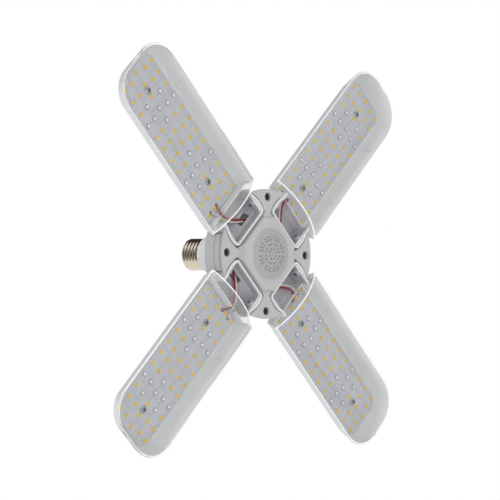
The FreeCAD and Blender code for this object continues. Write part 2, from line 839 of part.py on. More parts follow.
def make_tray():
    """White tray with sloped walls and a hinged yoke."""
    tray = PieceBody("Tray")
    slope = "(rim_half - floor_half) * floor_wall / tray_depth"
    tip_slope = "tip_slope * floor_wall / tray_depth"
    levels = {
        "AdditiveLoft": (
            ("tray_back", "floor_half", "blade_tip - tip_slope", "floor_corner", "blade_start"),
            ("tray_rim", "rim_half", "blade_tip", "tip_corner", "blade_start"),
        ),
        "SubtractiveLoft": (
            (
                "tray_floor",
                f"floor_half - tray_wall + {slope}",
                f"blade_tip - tip_slope - tray_wall + {tip_slope}",
                "floor_corner - tray_wall",
                "blade_start + end_wall",
            ),
            (
                "tray_rim",
                "rim_half - tray_wall",
                "blade_tip - tray_wall",
                "tip_corner - tray_wall",
                "blade_start + end_wall",
            ),
        ),
    }
    for kind, sections in levels.items():
        sketches = []
        for level, half, tip, corner, start in sections:
            sketch = tray.sketch("XY_Plane", level)
            tray_outline(sketch, half, tip, corner, start)
            sketches.append(sketch)
        doc.recompute()
        loft = tray.feature(kind, sketches[0])
        loft.Sections = [(sketches[1], [""])]
        loft.Ruled = True
        doc.recompute()

    add_yoke(tray)
    sketch = tray.sketch("XY_Plane", "yoke_rim")
    half = "lens_tab_half + lens_tab_gap"
    rectangle(sketch, "blade_start - lens_end_gap", f"-({half})", "blade_start + end_wall + cut_margin", half)
    tray.extrude("Pocket", sketch, "yoke_rim - lens_tab_foot")

    sketch = tray.sketch("XY_Plane", "lens_tab_foot")
    rectangle(
        sketch,
        "blade_start - cut_margin",
        "lead_gate_from",
        "blade_start + end_wall + cut_margin",
        "lead_gate_to",
    )
    tray.extrude("Pocket", sketch, "lead_gate_depth")

    sketch = tray.sketch("XY_Plane", "tray_floor")
    for place in ("board_screw_near", "board_screw_far"):
        circle(sketch, place, "0", "screw_shank_radius + screw_gap")
    tray.extrude("Pocket", sketch, "board_screw_bite")
    return tray.body


def plain_sketch(name, x_axis, y_axis, normal, base):
    """Make a free sketch on a plane given by its axes."""
    sketch = doc.addObject("Sketcher::SketchObject", name)
    sketch.Placement = Placement(Vector(0, 0, 0), Rotation(x_axis, y_axis, normal, "ZXY"))
    for axis, formula in zip("xyz", base):
        sketch.setExpression(f"Placement.Base.{axis}", bound(formula))
    return sketch


def extruded(name, sketch, length, both_sides=False):
    """Extrude a free sketch along its normal."""
    item = doc.addObject("Part::Extrusion", name)
    item.Base = sketch
    item.DirMode = "Normal"
    item.Solid = True
    item.Symmetric = both_sides
    bind(item, LengthFwd=length)
    return item


def lens_form(name, inset, bottom, edge):
    """Make the arched form that is common to a cross-section, a side view and a plan, drawn in by inset."""
    along_x, along_y, along_z = Vector(1, 0, 0), Vector(0, 1, 0), Vector(0, 0, 1)
    half = f"(lens_half - {inset})"
    tip = f"(lens_tip - {inset})"
    start = f"(blade_start + {inset})"
    spring = f"(tray_rim + {edge})"
    rise = f"(lens_rise - {inset} - {edge})"

    section = plain_sketch(f"{name}Section", along_y, along_z, along_x, (start, "0", "0"))
    arch = f"({half} ^ 2 + {rise} ^ 2) / (2 * {rise})"
    outline(section, (f"-{half}", bottom), (half, bottom), (half, spring, arch, 1), (f"-{half}", spring))

    side = plain_sketch(f"{name}Side", along_x, along_z, -along_y, ("0", "0", "0"))
    top = f"(lens_top - {inset} + cut_margin)"
    fall = f"({rise} + cut_margin)"
    dome = f"(lens_dome ^ 2 + {fall} ^ 2) / (2 * {fall})"
    outline(
        side,
        (start, bottom),
        (tip, bottom),
        (tip, spring, dome, 1),
        (f"{tip} - lens_dome", top),
        (start, top),
    )

    plan = plain_sketch(f"{name}Plan", along_x, along_y, along_z, ("0", "0", bottom))
    tray_outline(plan, half, tip, f"(lens_corner - {inset})", start)

    solids = [
        extruded(f"{name}Arch", section, "blade_length"),
        extruded(f"{name}Dome", side, "2 * rim_half", both_sides=True),
        extruded(f"{name}Footprint", plan, "lens_rise + tray_depth"),
    ]
    form = doc.addObject("Part::MultiCommon", name)
    form.Shapes = solids
    return form


def make_lens():
    """Clear arched lens with a flat end wall that reaches down into the tray's inner end."""
    outer = lens_form("LensOuter", "0", "tray_rim", "lens_edge")
    inner = lens_form("LensInner", "lens_wall", "tray_rim - cut_margin", "0")
    shell = doc.addObject("Part::Cut", "LensShell")
    shell.Base = outer
    shell.Tool = inner

    tab = doc.addObject("Part::Box", "LensTab")
    bind(
        tab,
        Length="lens_wall",
        Width="2 * lens_tab_half",
        Height="lens_tab_drop - lens_tab_gap + lens_edge / 2",
    )
    tab.setExpression("Placement.Base.x", bound("blade_start"))
    tab.setExpression("Placement.Base.y", bound("-lens_tab_half"))
    tab.setExpression("Placement.Base.z", bound("lens_tab_foot + lens_tab_gap"))

    lens = doc.addObject("Part::MultiFuse", "Lens")
    lens.Shapes = [shell, tab]
    lens.Refine = True
    return lens


def make_led_board():
    """Board that lies on the tray's floor, with rounded tip corners and two screw holes."""
    board = PieceBody("LedBoard")
    sketch = board.sketch("XY_Plane", "tray_floor")
    tray_outline(sketch, "board_half", "board_end", "board_corner", "board_start")
    for place in ("board_screw_near", "board_screw_far"):
        circle(sketch, place, "0", "screw_shank_radius + screw_gap")
    board.extrude("Pad", sketch, "board_thick")
    return board.body


def led_places():
    """Return the centres of the warm and of the clear LEDs on one board."""
    warm = []
    clear = []
    first = number("blade_start + led_first")
    pitch = number("led_pitch")
    columns = (
        (OUTER_LEDS, number("led_outer_column"), 0.0),
        (OUTER_LEDS, -number("led_outer_column"), 0.0),
        (INNER_LEDS, number("led_column"), 0.0),
        (INNER_LEDS, -number("led_column"), 0.0),
        (MIDDLE_LEDS, 0.0, number("led_middle_shift")),
    )
    for kinds, across, shift in columns:
        for row, kind in enumerate(kinds):
            group = clear if kind == "c" else warm
            group.append((first + pitch * row + shift, across))
    return warm, clear


def make_leds(name, centres):
    """Square LED packages standing on the board."""
    width = number("led_width")
    height = number("led_height")
    level = number("board_top")
    boxes = []
    for along, across in centres:
        corner = Vector(along - width / 2, across - width / 2, level)
        boxes.append(Part.makeBox(width, width, height, corner))
    item = doc.addObject("Part::Feature", name)
    item.Shape = Part.makeCompound(boxes)
    return item


def make_board_screws():
    """Two screws that hold the board to the tray."""
    length = "(board_thick + board_screw_bite)"
    screw, feature = make_screw("BoardScrew", "board_top", length, "board_screw_near")
    pair = screw.body.newObject("PartDesign::LinearPattern", "BoardScrewPair")
    pair.Originals = [feature]
    pair.Direction = (screw.origin("X_Axis"), [""])
    pair.Occurrences = 2
    bind(pair, Length="board_screw_far - board_screw_near")
    screw.body.Tip = pair
    doc.recompute()
    return screw.body


def make_hinge_pins():
    """Two short pins, one through each side of a yoke, held between the two hub housings."""
    pins = []
    for side, start in (("Left", "boss_face"), ("Right", "-notch_half - pin_seat")):
        pin = doc.addObject("Part::Cylinder", f"HingePin{side}")
        bind(pin, Radius="pin_radius", Height="notch_half + pin_seat - boss_face")
        pin.Placement = Placement(Vector(0, 0, 0), Rotation(Vector(1, 0, 0), -90))
        pin.setExpression("Placement.Base.x", bound("hinge_reach"))
        pin.setExpression("Placement.Base.y", bound(start))
        pin.setExpression("Placement.Base.z", bound("seam_drop"))
        pins.append(pin)
    pair = doc.addObject("Part::Compound", "HingePins")
    pair.Links = pins
    return pair


def make_blade_lead(name, colour):
    """One wire from its pad, through the tray's end wall and the yoke, to the driver board."""
    tail = ("cavity_radius - lead_tail_run", f"{colour}_tail")
    gate = f"{colour}_gate"
    points = route(
        ("blade_start + led_first", f"{colour}_pad", "board_top + lead_radius"),
        ("blade_start + end_wall + cut_margin", gate, "board_top + 2 * lead_radius + lead_pad_rise"),
        ("blade_start - lead_gate_run", gate, "board_top + lead_gate_rise"),
        ("hinge_reach - cut_margin", f"{colour}_middle", "board_top + lead_neck_rise"),
        ("square_half + lead_port_run", f"{colour}_port", "seam_drop - lead_port_drop"),
        ("cavity_radius - lead_port_run", f"{colour}_port", "seam_drop - lead_port_drop - cut_margin"),
        (*tail, "shelf_drop + driver_thick + lead_tail_rise"),
        (*tail, "shelf_drop + driver_thick + lead_end_gap"),
    )
    item = doc.addObject("Part::Feature", name)
    item.Shape, radii = lead_shape(points, number("lead_radius"))
    print(name, "bend radii", [round(radius, 1) for radius in radii])
    return item


def make_blades():
    """Draw the pieces of one blade and set them out round the hub."""
    warm, clear = led_places()
    forms = {
        "tray": make_tray(),
        "lens": make_lens(),
        "led_board": make_led_board(),
        "warm_leds": make_leds("WarmLeds", warm),
        "clear_leds": make_leds("ClearLeds", clear),
        "board_screws": make_board_screws(),
        "hinge_pins": make_hinge_pins(),
        "red_lead": make_blade_lead("RedLead", "red"),
        "white_lead": make_blade_lead("WhiteLead", "white"),
    }
    for blade in range(BLADE_COUNT):
        for kind, form in forms.items():
            piece = doc.addObject("Part::Compound", f"Blade{blade + 1}_{kind}")
            piece.Links = [form]
            piece.Placement = turned_over(blade)
            hand_in(piece, f"blade_{blade + 1}_{kind}")


def write_pieces():
    """Check every object of the document, then write each piece to its file."""
    doc.recompute()
    for item in doc.Objects:
        if "Invalid" in item.State or "Error" in item.State:
            raise RuntimeError(f"{item.Name} failed: {item.State}")
    os.makedirs("parts", exist_ok=True)
    for item in pieces:
        shape = item.Shape
        if shape.isNull() or not shape.isValid() or not shape.Solids:
            raise RuntimeError(f"{item.Label} has no sound solid")
    for item in pieces:
        solids = item.Shape.Solids
        whole = solids[0] if len(solids) == 1 else Part.makeCompound(solids)
        whole.exportStep(os.path.join("parts", f"{item.Label}.step"))


make_cap()
make_rear_housing()
make_front_cover()
make_hub_screws()
make_driver()
make_blades()
write_pieces()
print(len(pieces), "pieces written")
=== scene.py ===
"""Looks of the foldable grow light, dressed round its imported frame.

Lengths are metres in the frame's axes: +Z runs up the screw cap and the light shines down. A blade has
coordinates of its own, (out, across, drop): out along the blade, across it, and the drop below the cap's rim.
"""

from __future__ import annotations

import logging
import math
from dataclasses import dataclass, field
from enum import Enum

import bpy
from mathutils import Matrix, Vector


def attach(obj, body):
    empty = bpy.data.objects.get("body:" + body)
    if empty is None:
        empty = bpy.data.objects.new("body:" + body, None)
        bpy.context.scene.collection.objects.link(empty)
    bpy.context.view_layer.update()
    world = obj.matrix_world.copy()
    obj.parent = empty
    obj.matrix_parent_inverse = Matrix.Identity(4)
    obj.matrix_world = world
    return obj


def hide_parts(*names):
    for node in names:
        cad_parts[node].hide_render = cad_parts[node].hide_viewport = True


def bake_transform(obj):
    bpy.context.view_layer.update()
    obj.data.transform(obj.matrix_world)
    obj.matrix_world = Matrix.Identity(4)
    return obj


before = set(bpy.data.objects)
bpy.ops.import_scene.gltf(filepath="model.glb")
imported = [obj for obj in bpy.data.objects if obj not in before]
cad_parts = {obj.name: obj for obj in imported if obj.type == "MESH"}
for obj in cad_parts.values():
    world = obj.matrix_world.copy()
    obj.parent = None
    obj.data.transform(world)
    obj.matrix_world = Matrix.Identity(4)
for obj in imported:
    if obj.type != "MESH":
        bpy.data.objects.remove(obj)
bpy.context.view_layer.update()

LOG = logging.getLogger("grow_light")
MM = 0.001
# Faces that meet at more than this are shaded apart.
CREASE = math.radians(34)
# Points nearer than this become one, in metres.
WELD = 1e-6
# No surface is less rough than this.
MIRROR = 0.02
SUM = "ShaderNodeMath"

Tree = bpy.types.NodeTree
Socket = bpy.types.NodeSocket
Piece = bpy.types.Object
Steps = tuple[tuple[float, float], ...]


def add_node(tree: Tree, kind: str, inputs: dict | None = None, **settings: object) -> bpy.types.Node:
    """Add one node to a tree, with its settings and links.

    Args:
        tree: Node tree that gets the node.
        kind: Blender's name for the kind of node.
        inputs: A value, or an output or a list of outputs to link, for each input by its name or number.
        **settings: Properties of the node itself.

    Returns:
        The new node.
    """
    node = tree.nodes.new(kind)
    for name, value in settings.items():
        setattr(node, name, value)
    for key, given in (inputs or {}).items():
        for value in given if isinstance(given, list) else [given]:
            if isinstance(value, Socket):
                tree.links.new(value, node.inputs[key])
            else:
                node.inputs[key].default_value = value
    return node


def linear(hex_colour: str) -> tuple[float, float, float, float]:
    """Turn an sRGB hex colour to linear light.

    Args:
        hex_colour: Six hex digits after a hash.

    Returns:
        Red, green, blue and an alpha of 1.
    """
    shares = [int(hex_colour[i : i + 2], 16) / 255 for i in (1, 3, 5)]
    red, green, blue = (s / 12.92 if s <= 0.04045 else ((s + 0.055) / 1.055) ** 2.4 for s in shares)
    return red, green, blue, 1.0


def per_metre(spacing: float) -> float:
    """Return the texture scale whose pattern repeats every so many millimetres."""
    return 1 / (spacing * MM)


def overlay(tree: Tree, colour: Socket, tone: str, *limits: tuple[Socket, float, float]) -> Socket:
    """Lay another tone over a part of a surface.

    Args:
        tree: The material's node tree.
        colour: Colour of the whole surface.
        tone: Colour of the part.
        *limits: What bounds the part: a length, its limit and how far the change spreads to each side. The
            last two are millimetres, and a negative spread keeps what lies below the limit.

    Returns:
        The colour of both.
    """
    share = 1.0
    for length, limit, spread in limits:
        inputs = {"Value": length, "From Min": (limit - spread) * MM, "From Max": (limit + spread) * MM}
        part = add_node(tree, "ShaderNodeMapRange", inputs).outputs[0]
        share = add_node(tree, SUM, {0: share, 1: part}, operation="MULTIPLY").outputs[0]
    inputs = {0: share, 6: colour, 7: linear(tone)}
    return add_node(tree, "ShaderNodeMix", inputs, data_type="RGBA").outputs[2]


class Lie(Enum):
    """Which way a pattern runs on a piece."""

    ALONG_X = 0.0
    ALONG_Y = 90.0


@dataclass(frozen=True)
class Finish:
    """A surface: two close tones in soft patches, with a fine grain. Sizes are millimetres."""

    name: str
    colour: str
    shade: str
    roughness: float
    patch: float = 12.0
    grain: float = 0.6
    relief: float = 0.01
    spread: float = 0.06
    metallic: float = 0.0
    ior: float = 1.5
    edge: float = 0.0
    subsurface: float = 0.0
    # Emission in the surface's own colour: a painted glow, as none of these surfaces is a lamp.
    glow: float = 0.0

    def tint(self, tree: Tree, place: Socket) -> Socket:
        """Lay the two tones in soft patches.

        Args:
            tree: The material's node tree.
            place: Coordinates of the pattern.

        Returns:
            The colour of the surface.
        """
        inputs = {"Vector": place, "Scale": per_metre(self.patch), "Detail": 3.0}
        patches = add_node(tree, "ShaderNodeTexNoise", inputs).outputs["Fac"]
        inputs = {0: patches, 6: linear(self.colour), 7: linear(self.shade)}
        return add_node(tree, "ShaderNodeMix", inputs, data_type="RGBA").outputs[2]

    def height(self, tree: Tree, place: Socket) -> Socket:
        """Raise the grain that the surface was made with.

        Args:
            tree: The material's node tree.
            place: Coordinates of the pattern.

        Returns:
            The height of the grain, from 0 to 1.
        """
        inputs = {"Vector": place, "Scale": per_metre(self.grain), "Detail": 2.0}
        return add_node(tree, "ShaderNodeTexNoise", inputs).outputs["Fac"]

    def normal(self, tree: Tree, place: Socket) -> Socket:
        """Turn the surface by its grain, and round its edges where it has an edge radius.

        Args:
            tree: The material's node tree.
            place: Coordinates of the pattern.

        Returns:
            The direction that the surface faces.
        """
        inputs = {"Height": self.height(tree, place), "Distance": self.relief * MM, "Strength": 1.0}
        if self.edge:
            rounding = add_node(tree, "ShaderNodeBevel", {"Radius": self.edge * MM}, samples=6)
            inputs["Normal"] = rounding.outputs["Normal"]
        return add_node(tree, "ShaderNodeBump", inputs).outputs["Normal"]

    def surface(self, tree: Tree, place: Socket) -> bpy.types.Node:
        """Make the shader of the surface.

        Args:
            tree: The material's node tree.
            place: Coordinates of the patterns.

        Returns:
            The shader node.
        """
        inputs = {"Vector": place, "Scale": per_metre(2 * self.patch), "Detail": 4.0}
        wear = add_node(tree, "ShaderNodeTexNoise", inputs).outputs["Fac"]
        least = max(self.roughness - self.spread, MIRROR)
        inputs = {"Value": wear, "To Min": least, "To Max": self.roughness + self.spread}
        gloss = add_node(tree, "ShaderNodeMapRange", inputs).outputs["Result"]
        return add_node(
            tree,
            "ShaderNodeBsdfPrincipled",
            {
                "Base Color": self.tint(tree, place),
                "Roughness": gloss,
                "Metallic": self.metallic,
                "IOR": self.ior,
                "Normal": self.normal(tree, place),
                "Subsurface Weight": self.subsurface,
                "Subsurface Scale": 1.0 * MM,
                "Emission Color": linear(self.colour),
                "Emission Strength": self.glow,
            },
        )

    def material(self, lie: Lie = Lie.ALONG_X) -> bpy.types.Material:
        """Make the material, or return it where it is already made.

        Args:
            lie: Which way its pattern runs.

        Returns:
            The material.
        """
        name = f"{self.name}_{lie.name.lower()}"
        made = bpy.data.materials.get(name)
        if made is None:
            made = bpy.data.materials.new(name)
            made.use_nodes = True
            tree = made.node_tree
            tree.nodes.clear()
            place = add_node(tree, "ShaderNodeTexCoord").outputs["Object"]
            inputs = {"Vector": place, "Rotation": (0.0, 0.0, math.radians(-lie.value))}
            turned = add_node(tree, "ShaderNodeMapping", inputs).outputs["Vector"]
            shader = self.surface(tree, turned)
            add_node(tree, "ShaderNodeOutputMaterial", {"Surface": shader.outputs[0]})
        return made


@dataclass(frozen=True)
class BoardLacquer(Finish):
    """Pale lacquer over a board's copper areas, whose gaps show as lines. Sizes are millimetres."""

    pitch: float = 11.6
    column: float = 9.4
    gap: float = 0.7
    softness: float = 0.6
    line: str = "#B4B4BE"

    def lines(self, tree: Tree, place: Socket) -> bpy.types.Node:
        """Lay the copper areas out like bricks, with a gap round each.

        Args:
            tree: The material's node tree.
            place: Coordinates of the pattern.

        Returns:
            The node whose factor is 1 in a gap.
        """
        return add_node(
            tree,
            "ShaderNodeTexBrick",
            {
                "Vector": place,
                "Scale": 1.0,
                "Mortar Size": self.gap * MM / 2,
                "Mortar Smooth": self.softness,
                "Brick Width": self.pitch * MM,
                "Row Height": self.column * MM,
                "Color1": linear(self.colour),
                "Color2": linear(self.shade),
                "Mortar": linear(self.line),
            },
            offset=0.5,
        )

    def tint(self, tree: Tree, place: Socket) -> Socket:
        """Return the lacquer's colour, a little darker in the gaps."""
        return self.lines(tree, place).outputs["Color"]

    def height(self, tree: Tree, place: Socket) -> Socket:
        """Return the lacquer's height, which sinks into the gaps."""
        gaps = self.lines(tree, place).outputs["Fac"]
        return add_node(tree, SUM, {0: 1.0, 1: gaps}, operation="SUBTRACT").outputs[0]


@dataclass(frozen=True)
class HubMoulding(Finish):
    """Hub plastic: plain drum and ears, a whiter neck and a darker, textured disc. Places are millimetres."""

    neck: str = "#E6E6E6"
    neck_end: float = -43.8
    neck_spread: float = 0.1
    disc: str = "#AFAFAF"
    disc_radius: float = 20.7
    disc_spread: float = 0.9
    disc_foot: float = -66.9
    foot_spread: float = 0.2

    def tint(self, tree: Tree, place: Socket) -> Socket:
        """Lay the plain tones, then the neck's and the disc's.

        Args:
            tree: The material's node tree.
            place: Coordinates of the pattern.

        Returns:
            The colour of the surface.
        """
        colour = super().tint(tree, place)
        rise = add_node(tree, "ShaderNodeSeparateXYZ", {0: place}).outputs[2]
        flat = add_node(tree, "ShaderNodeVectorMath", {0: place, 1: (1.0, 1.0, 0.0)}, operation="MULTIPLY")
        reach = add_node(tree, "ShaderNodeVectorMath", {0: flat.outputs[0]}, operation="LENGTH")
        colour = overlay(tree, colour, self.neck, (rise, self.neck_end, self.neck_spread))
        round_disc = (reach.outputs["Value"], self.disc_radius, -self.disc_spread)
        return overlay(tree, colour, self.disc, round_disc, (rise, self.disc_foot, -self.foot_spread))


@dataclass(frozen=True)
class TrayMoulding(Finish):
    """Tray plastic, with painted shade inside the yoke that swings in the hub. Places are millimetres in the
    blade.
    """

    # Painted shade: a darker tone for the dark inside of the yoke's deep pocket.
    pocket_shade: str = "#B4B1B7"
    pocket_out: tuple[float, float] = (27.8, 51.0)
    pocket_half: float = 18.9
    pocket_drop: tuple[float, float] = (49.3, 63.6)
    pocket_spread: float = 0.3
    mouth_spread: float = 2.0
    rim_spread: float = 0.4
    heel_slope: float = 0.935
    heel_line: float = 83.0
    heel_spread: float = 0.5

    def tint(self, tree: Tree, place: Socket) -> Socket:
        """Lay the plain tones, then the painted shade inside the pocket.

        Args:
            tree: The material's node tree.
            place: Coordinates of the pattern, with X along the blade.

        Returns:
            The colour of the surface.
        """
        colour = super().tint(tree, place)
        apart = add_node(tree, "ShaderNodeVectorMath", {0: place}, operation="ABSOLUTE").outputs[0]
        out, across, drop = add_node(tree, "ShaderNodeSeparateXYZ", {0: apart}).outputs
        inputs = {0: drop, 1: self.heel_slope, 2: out}
        heel = add_node(tree, SUM, inputs, operation="MULTIPLY_ADD").outputs[0]
        # Painted shade over the inside of the yoke's pocket.
        return overlay(
            tree,
            colour,
            self.pocket_shade,
            (out, self.pocket_out[0], self.pocket_spread),
            (out, self.pocket_out[1], -self.mouth_spread),
            (across, self.pocket_half, -self.pocket_spread),
            (drop, self.pocket_drop[0], self.pocket_spread),
            (drop, self.pocket_drop[1], -self.rim_spread),
            (heel, self.heel_line, self.heel_spread),
        )


@dataclass(frozen=True)
class ClearMoulding(Finish):
    """Clear plastic with polished faces. Lamps shine through it on to what is behind."""

    def surface(self, tree: Tree, place: Socket) -> bpy.types.Node:
        """Make the clear shader, which is open to the light of lamps.

        Args:
            tree: The material's node tree.
            place: Coordinates of the patterns.

        Returns:
            The shader node.
        """
        clear = add_node(
            tree,
            "ShaderNodeBsdfPrincipled",
            {
                "Base Color": linear(self.colour),
                "Roughness": self.roughness,
                "IOR": self.ior,
                "Transmission Weight": 1.0,
                "Normal": self.normal(tree, place),
            },
        )
        path = add_node(tree, "ShaderNodeLightPath")
        opened = add_node(tree, "ShaderNodeBsdfTransparent", {"Color": linear(self.shade)})
        inputs = {0: path.outputs["Is Shadow Ray"], 1: clear.outputs[0], 2: opened.outputs[0]}
        return add_node(tree, "ShaderNodeMixShader", inputs)


# Moulded ABS: spark-eroded tool, so a fine even grain and a soft sheen. The grain is drawn at 0.6 mm to show.
HUB_ABS = HubMoulding("moulded_abs", "#C5C5C5", "#BFBFBF", 0.42, patch=14.0, relief=0.012, edge=0.7)
# Moulded polycarbonate, filled white: smoother than the hub, with a clearer sheen. Inside the yoke's pocket it
# has painted shade.
TRAY_PLASTIC = TrayMoulding(
    "white_polycarbonate", "#F0F0F0", "#E9E9EA", 0.34, patch=30.0, relief=0.006, edge=0.5
)
# Clear polycarbonate, polished tool: long slow waves from the flow of the melt.
LENS_CLEAR = ClearMoulding(
    "clear_polycarbonate", "#FBFCFC", "#F4F5F5", 0.03, grain=38.0, relief=0.05, ior=1.585
)
# Edges of the lens: white and matt, so they show as white lines, with a painted glow for the light the sheet
# lets out there.
LENS_EDGE_GLOW = Finish("edge_of_polycarbonate", "#FFFFFF", "#FAFAFA", 0.45, patch=8.0, grain=0.4, glow=0.4)
# Solder lacquer on aluminium: flat, satin, faintly blue.
BOARD_LACQUER = BoardLacquer("board_lacquer", "#CBCBD3", "#C7C7D0", 0.32, patch=20.0, relief=0.03)
# White nylon of a yellow LED's cup: matt and chalky.
LED_CUP = Finish("white_nylon", "#ECEBE8", "#E2E1DD", 0.55, patch=3.0, grain=0.3, relief=0.004)
# Cup of a clear LED: grey, a painted shade round its white window, darker than the board so that the window
# stands out.
GREY_CUP = Finish("grey_epoxy", "#A4A5AB", "#97989E", 0.3, patch=2.0, grain=0.3, relief=0.004)
# Phosphor in silicone gel: dense yellow grains under a satin skin.
WARM_GEL = Finish("phosphor_gel", "#F0CA20", "#E6BC18", 0.45, patch=1.2, grain=0.25, relief=0.004, ior=1.41)
# Clear silicone gel over the cup's white floor: a small white square with a shine.
CLEAR_GEL = Finish("clear_gel", "#FCFCFC", "#F1F2F3", 0.12, patch=1.6, grain=0.4, relief=0.003)
# Blackened steel of the ear screws: the oxide is uneven, so the shine comes and goes.
BLACK_STEEL = Finish(
    "blackened_steel", "#65635D", "#24231F", 0.3, patch=1.5, grain=0.2, spread=0.12, metallic=1.0
)
# Zinc on the board screws: bright grey heads that stand out by their dark recess.
GREY_STEEL = Finish(
    "zinc_plated_steel", "#C2C2C0", "#969694", 0.3, patch=3.0, grain=0.2, spread=0.12, metallic=1.0
)
# A driven screw's recess: dull and nearly black, partly the oxide left there and partly painted shade for the
# dark of the narrow recess.
RECESS_OXIDE_AND_SHADE = Finish("steel_oxide", "#1E1D1C", "#141312", 0.6, patch=1.0, grain=0.2)
# Ground steel of the hinge pins: an even, dull shine.
PIN_STEEL = Finish(
    "ground_steel", "#9C9B98", "#8B8A87", 0.28, patch=4.0, grain=0.3, relief=0.004, metallic=1.0
)
# Nickel plate on rolled brass: bright, faintly warm.
NICKEL = Finish(
    "nickel_plate", "#DED7C4", "#CDC4A9", 0.08, patch=5.0, grain=0.5, relief=0.004, spread=0.05, metallic=1.0
)
# Black glass between the shell and the contact: deep and glossy.
BLACK_GLASS = Finish("black_glass", "#141414", "#0C0C0D", 0.12, patch=4.0, grain=1.0, relief=0.01)
# Tin on the contact: soft grey, with an uneven shine.
TIN = Finish("tin", "#B9B7B0", "#A29F98", 0.36, patch=1.5, grain=0.4, relief=0.02, spread=0.12, metallic=1.0)
# Set solder: a bright skin that mirrors its dark surroundings.
SOLDER = Finish("solder", "#908E89", "#4C4B48", 0.12, patch=1.2, grain=0.4, relief=0.02, metallic=1.0)
# Driver board: green lacquer on glass cloth, which leaves a fine grain.
GREEN_BOARD = Finish("green_glass_cloth", "#2C6B45", "#24593A", 0.35, patch=6.0, grain=0.5, relief=0.01)
# Capacitor's shrunk sleeve: dark, smooth and tight.
SLEEVE = Finish("shrunk_sleeve", "#23252B", "#1B1C21", 0.3, patch=4.0, grain=0.8, relief=0.01)
# Sintered ferrite of the choke: dark, matt and gritty.
FERRITE = Finish("sintered_ferrite", "#38353A", "#2C2A2E", 0.6, patch=2.0, grain=0.3, relief=0.02)
# Wire insulation, extruded PVC: smooth and soft, and a little light goes into it.
RED_PVC = Finish("red_pvc", "#A3202A", "#8C1922", 0.3, patch=4.0, grain=0.8, relief=0.008, subsurface=0.1)
WHITE_PVC = Finish("white_pvc", "#DAD7D2", "#CBC8C2", 0.3, patch=4.0, grain=0.8, relief=0.008, subsurface=0.1)


def named_sizes(part: object, *names: str) -> dict[str, float]:
    """Return some of a part's sizes in metres, as a tree's named inputs: head_radius becomes Head Radius."""
    return {name.replace("_", " ").title(): getattr(part, name) * MM for name in names}


def settled(name: str, carrier: Piece, place: Matrix, wall: float = 0.0, cut_edge: int = 0) -> Piece:
    """Keep what an object's modifiers make of it as a plain mesh.

    Args:
        name: Name of the new piece.
        carrier: Object with the modifiers, which is used up.
        place: Where the finished mesh goes.
        wall: Thickness that its surface gets on the inside.
        cut_edge: How many materials further on in its list the sheet's cut edge has its own.

    Returns:
        The piece, at the origin.
    """
    bpy.context.scene.collection.objects.link(carrier)
    if wall:
        shell = carrier.modifiers.new("wall", "SOLIDIFY")
        shell.thickness = wall
        shell.offset = -1.0
        shell.use_even_offset = True
        shell.vertex_group = carrier.vertex_groups[0].name if carrier.vertex_groups else ""
        shell.material_offset_rim = cut_edge
    graph = bpy.context.evaluated_depsgraph_get()
    mesh = bpy.data.meshes.new_from_object(carrier.evaluated_get(graph), depsgraph=graph)
    if wall:
        mesh.set_sharp_from_angle(angle=CREASE)
    source = carrier.data
    bpy.data.objects.remove(carrier)
    bpy.data.meshes.remove(source)
    mesh.name = name
    mesh.transform(place)
    piece = bpy.data.objects.new(name, mesh)
    bpy.context.scene.collection.objects.link(piece)
    LOG.info("%s: %d faces", name, len(mesh.polygons))
    return piece


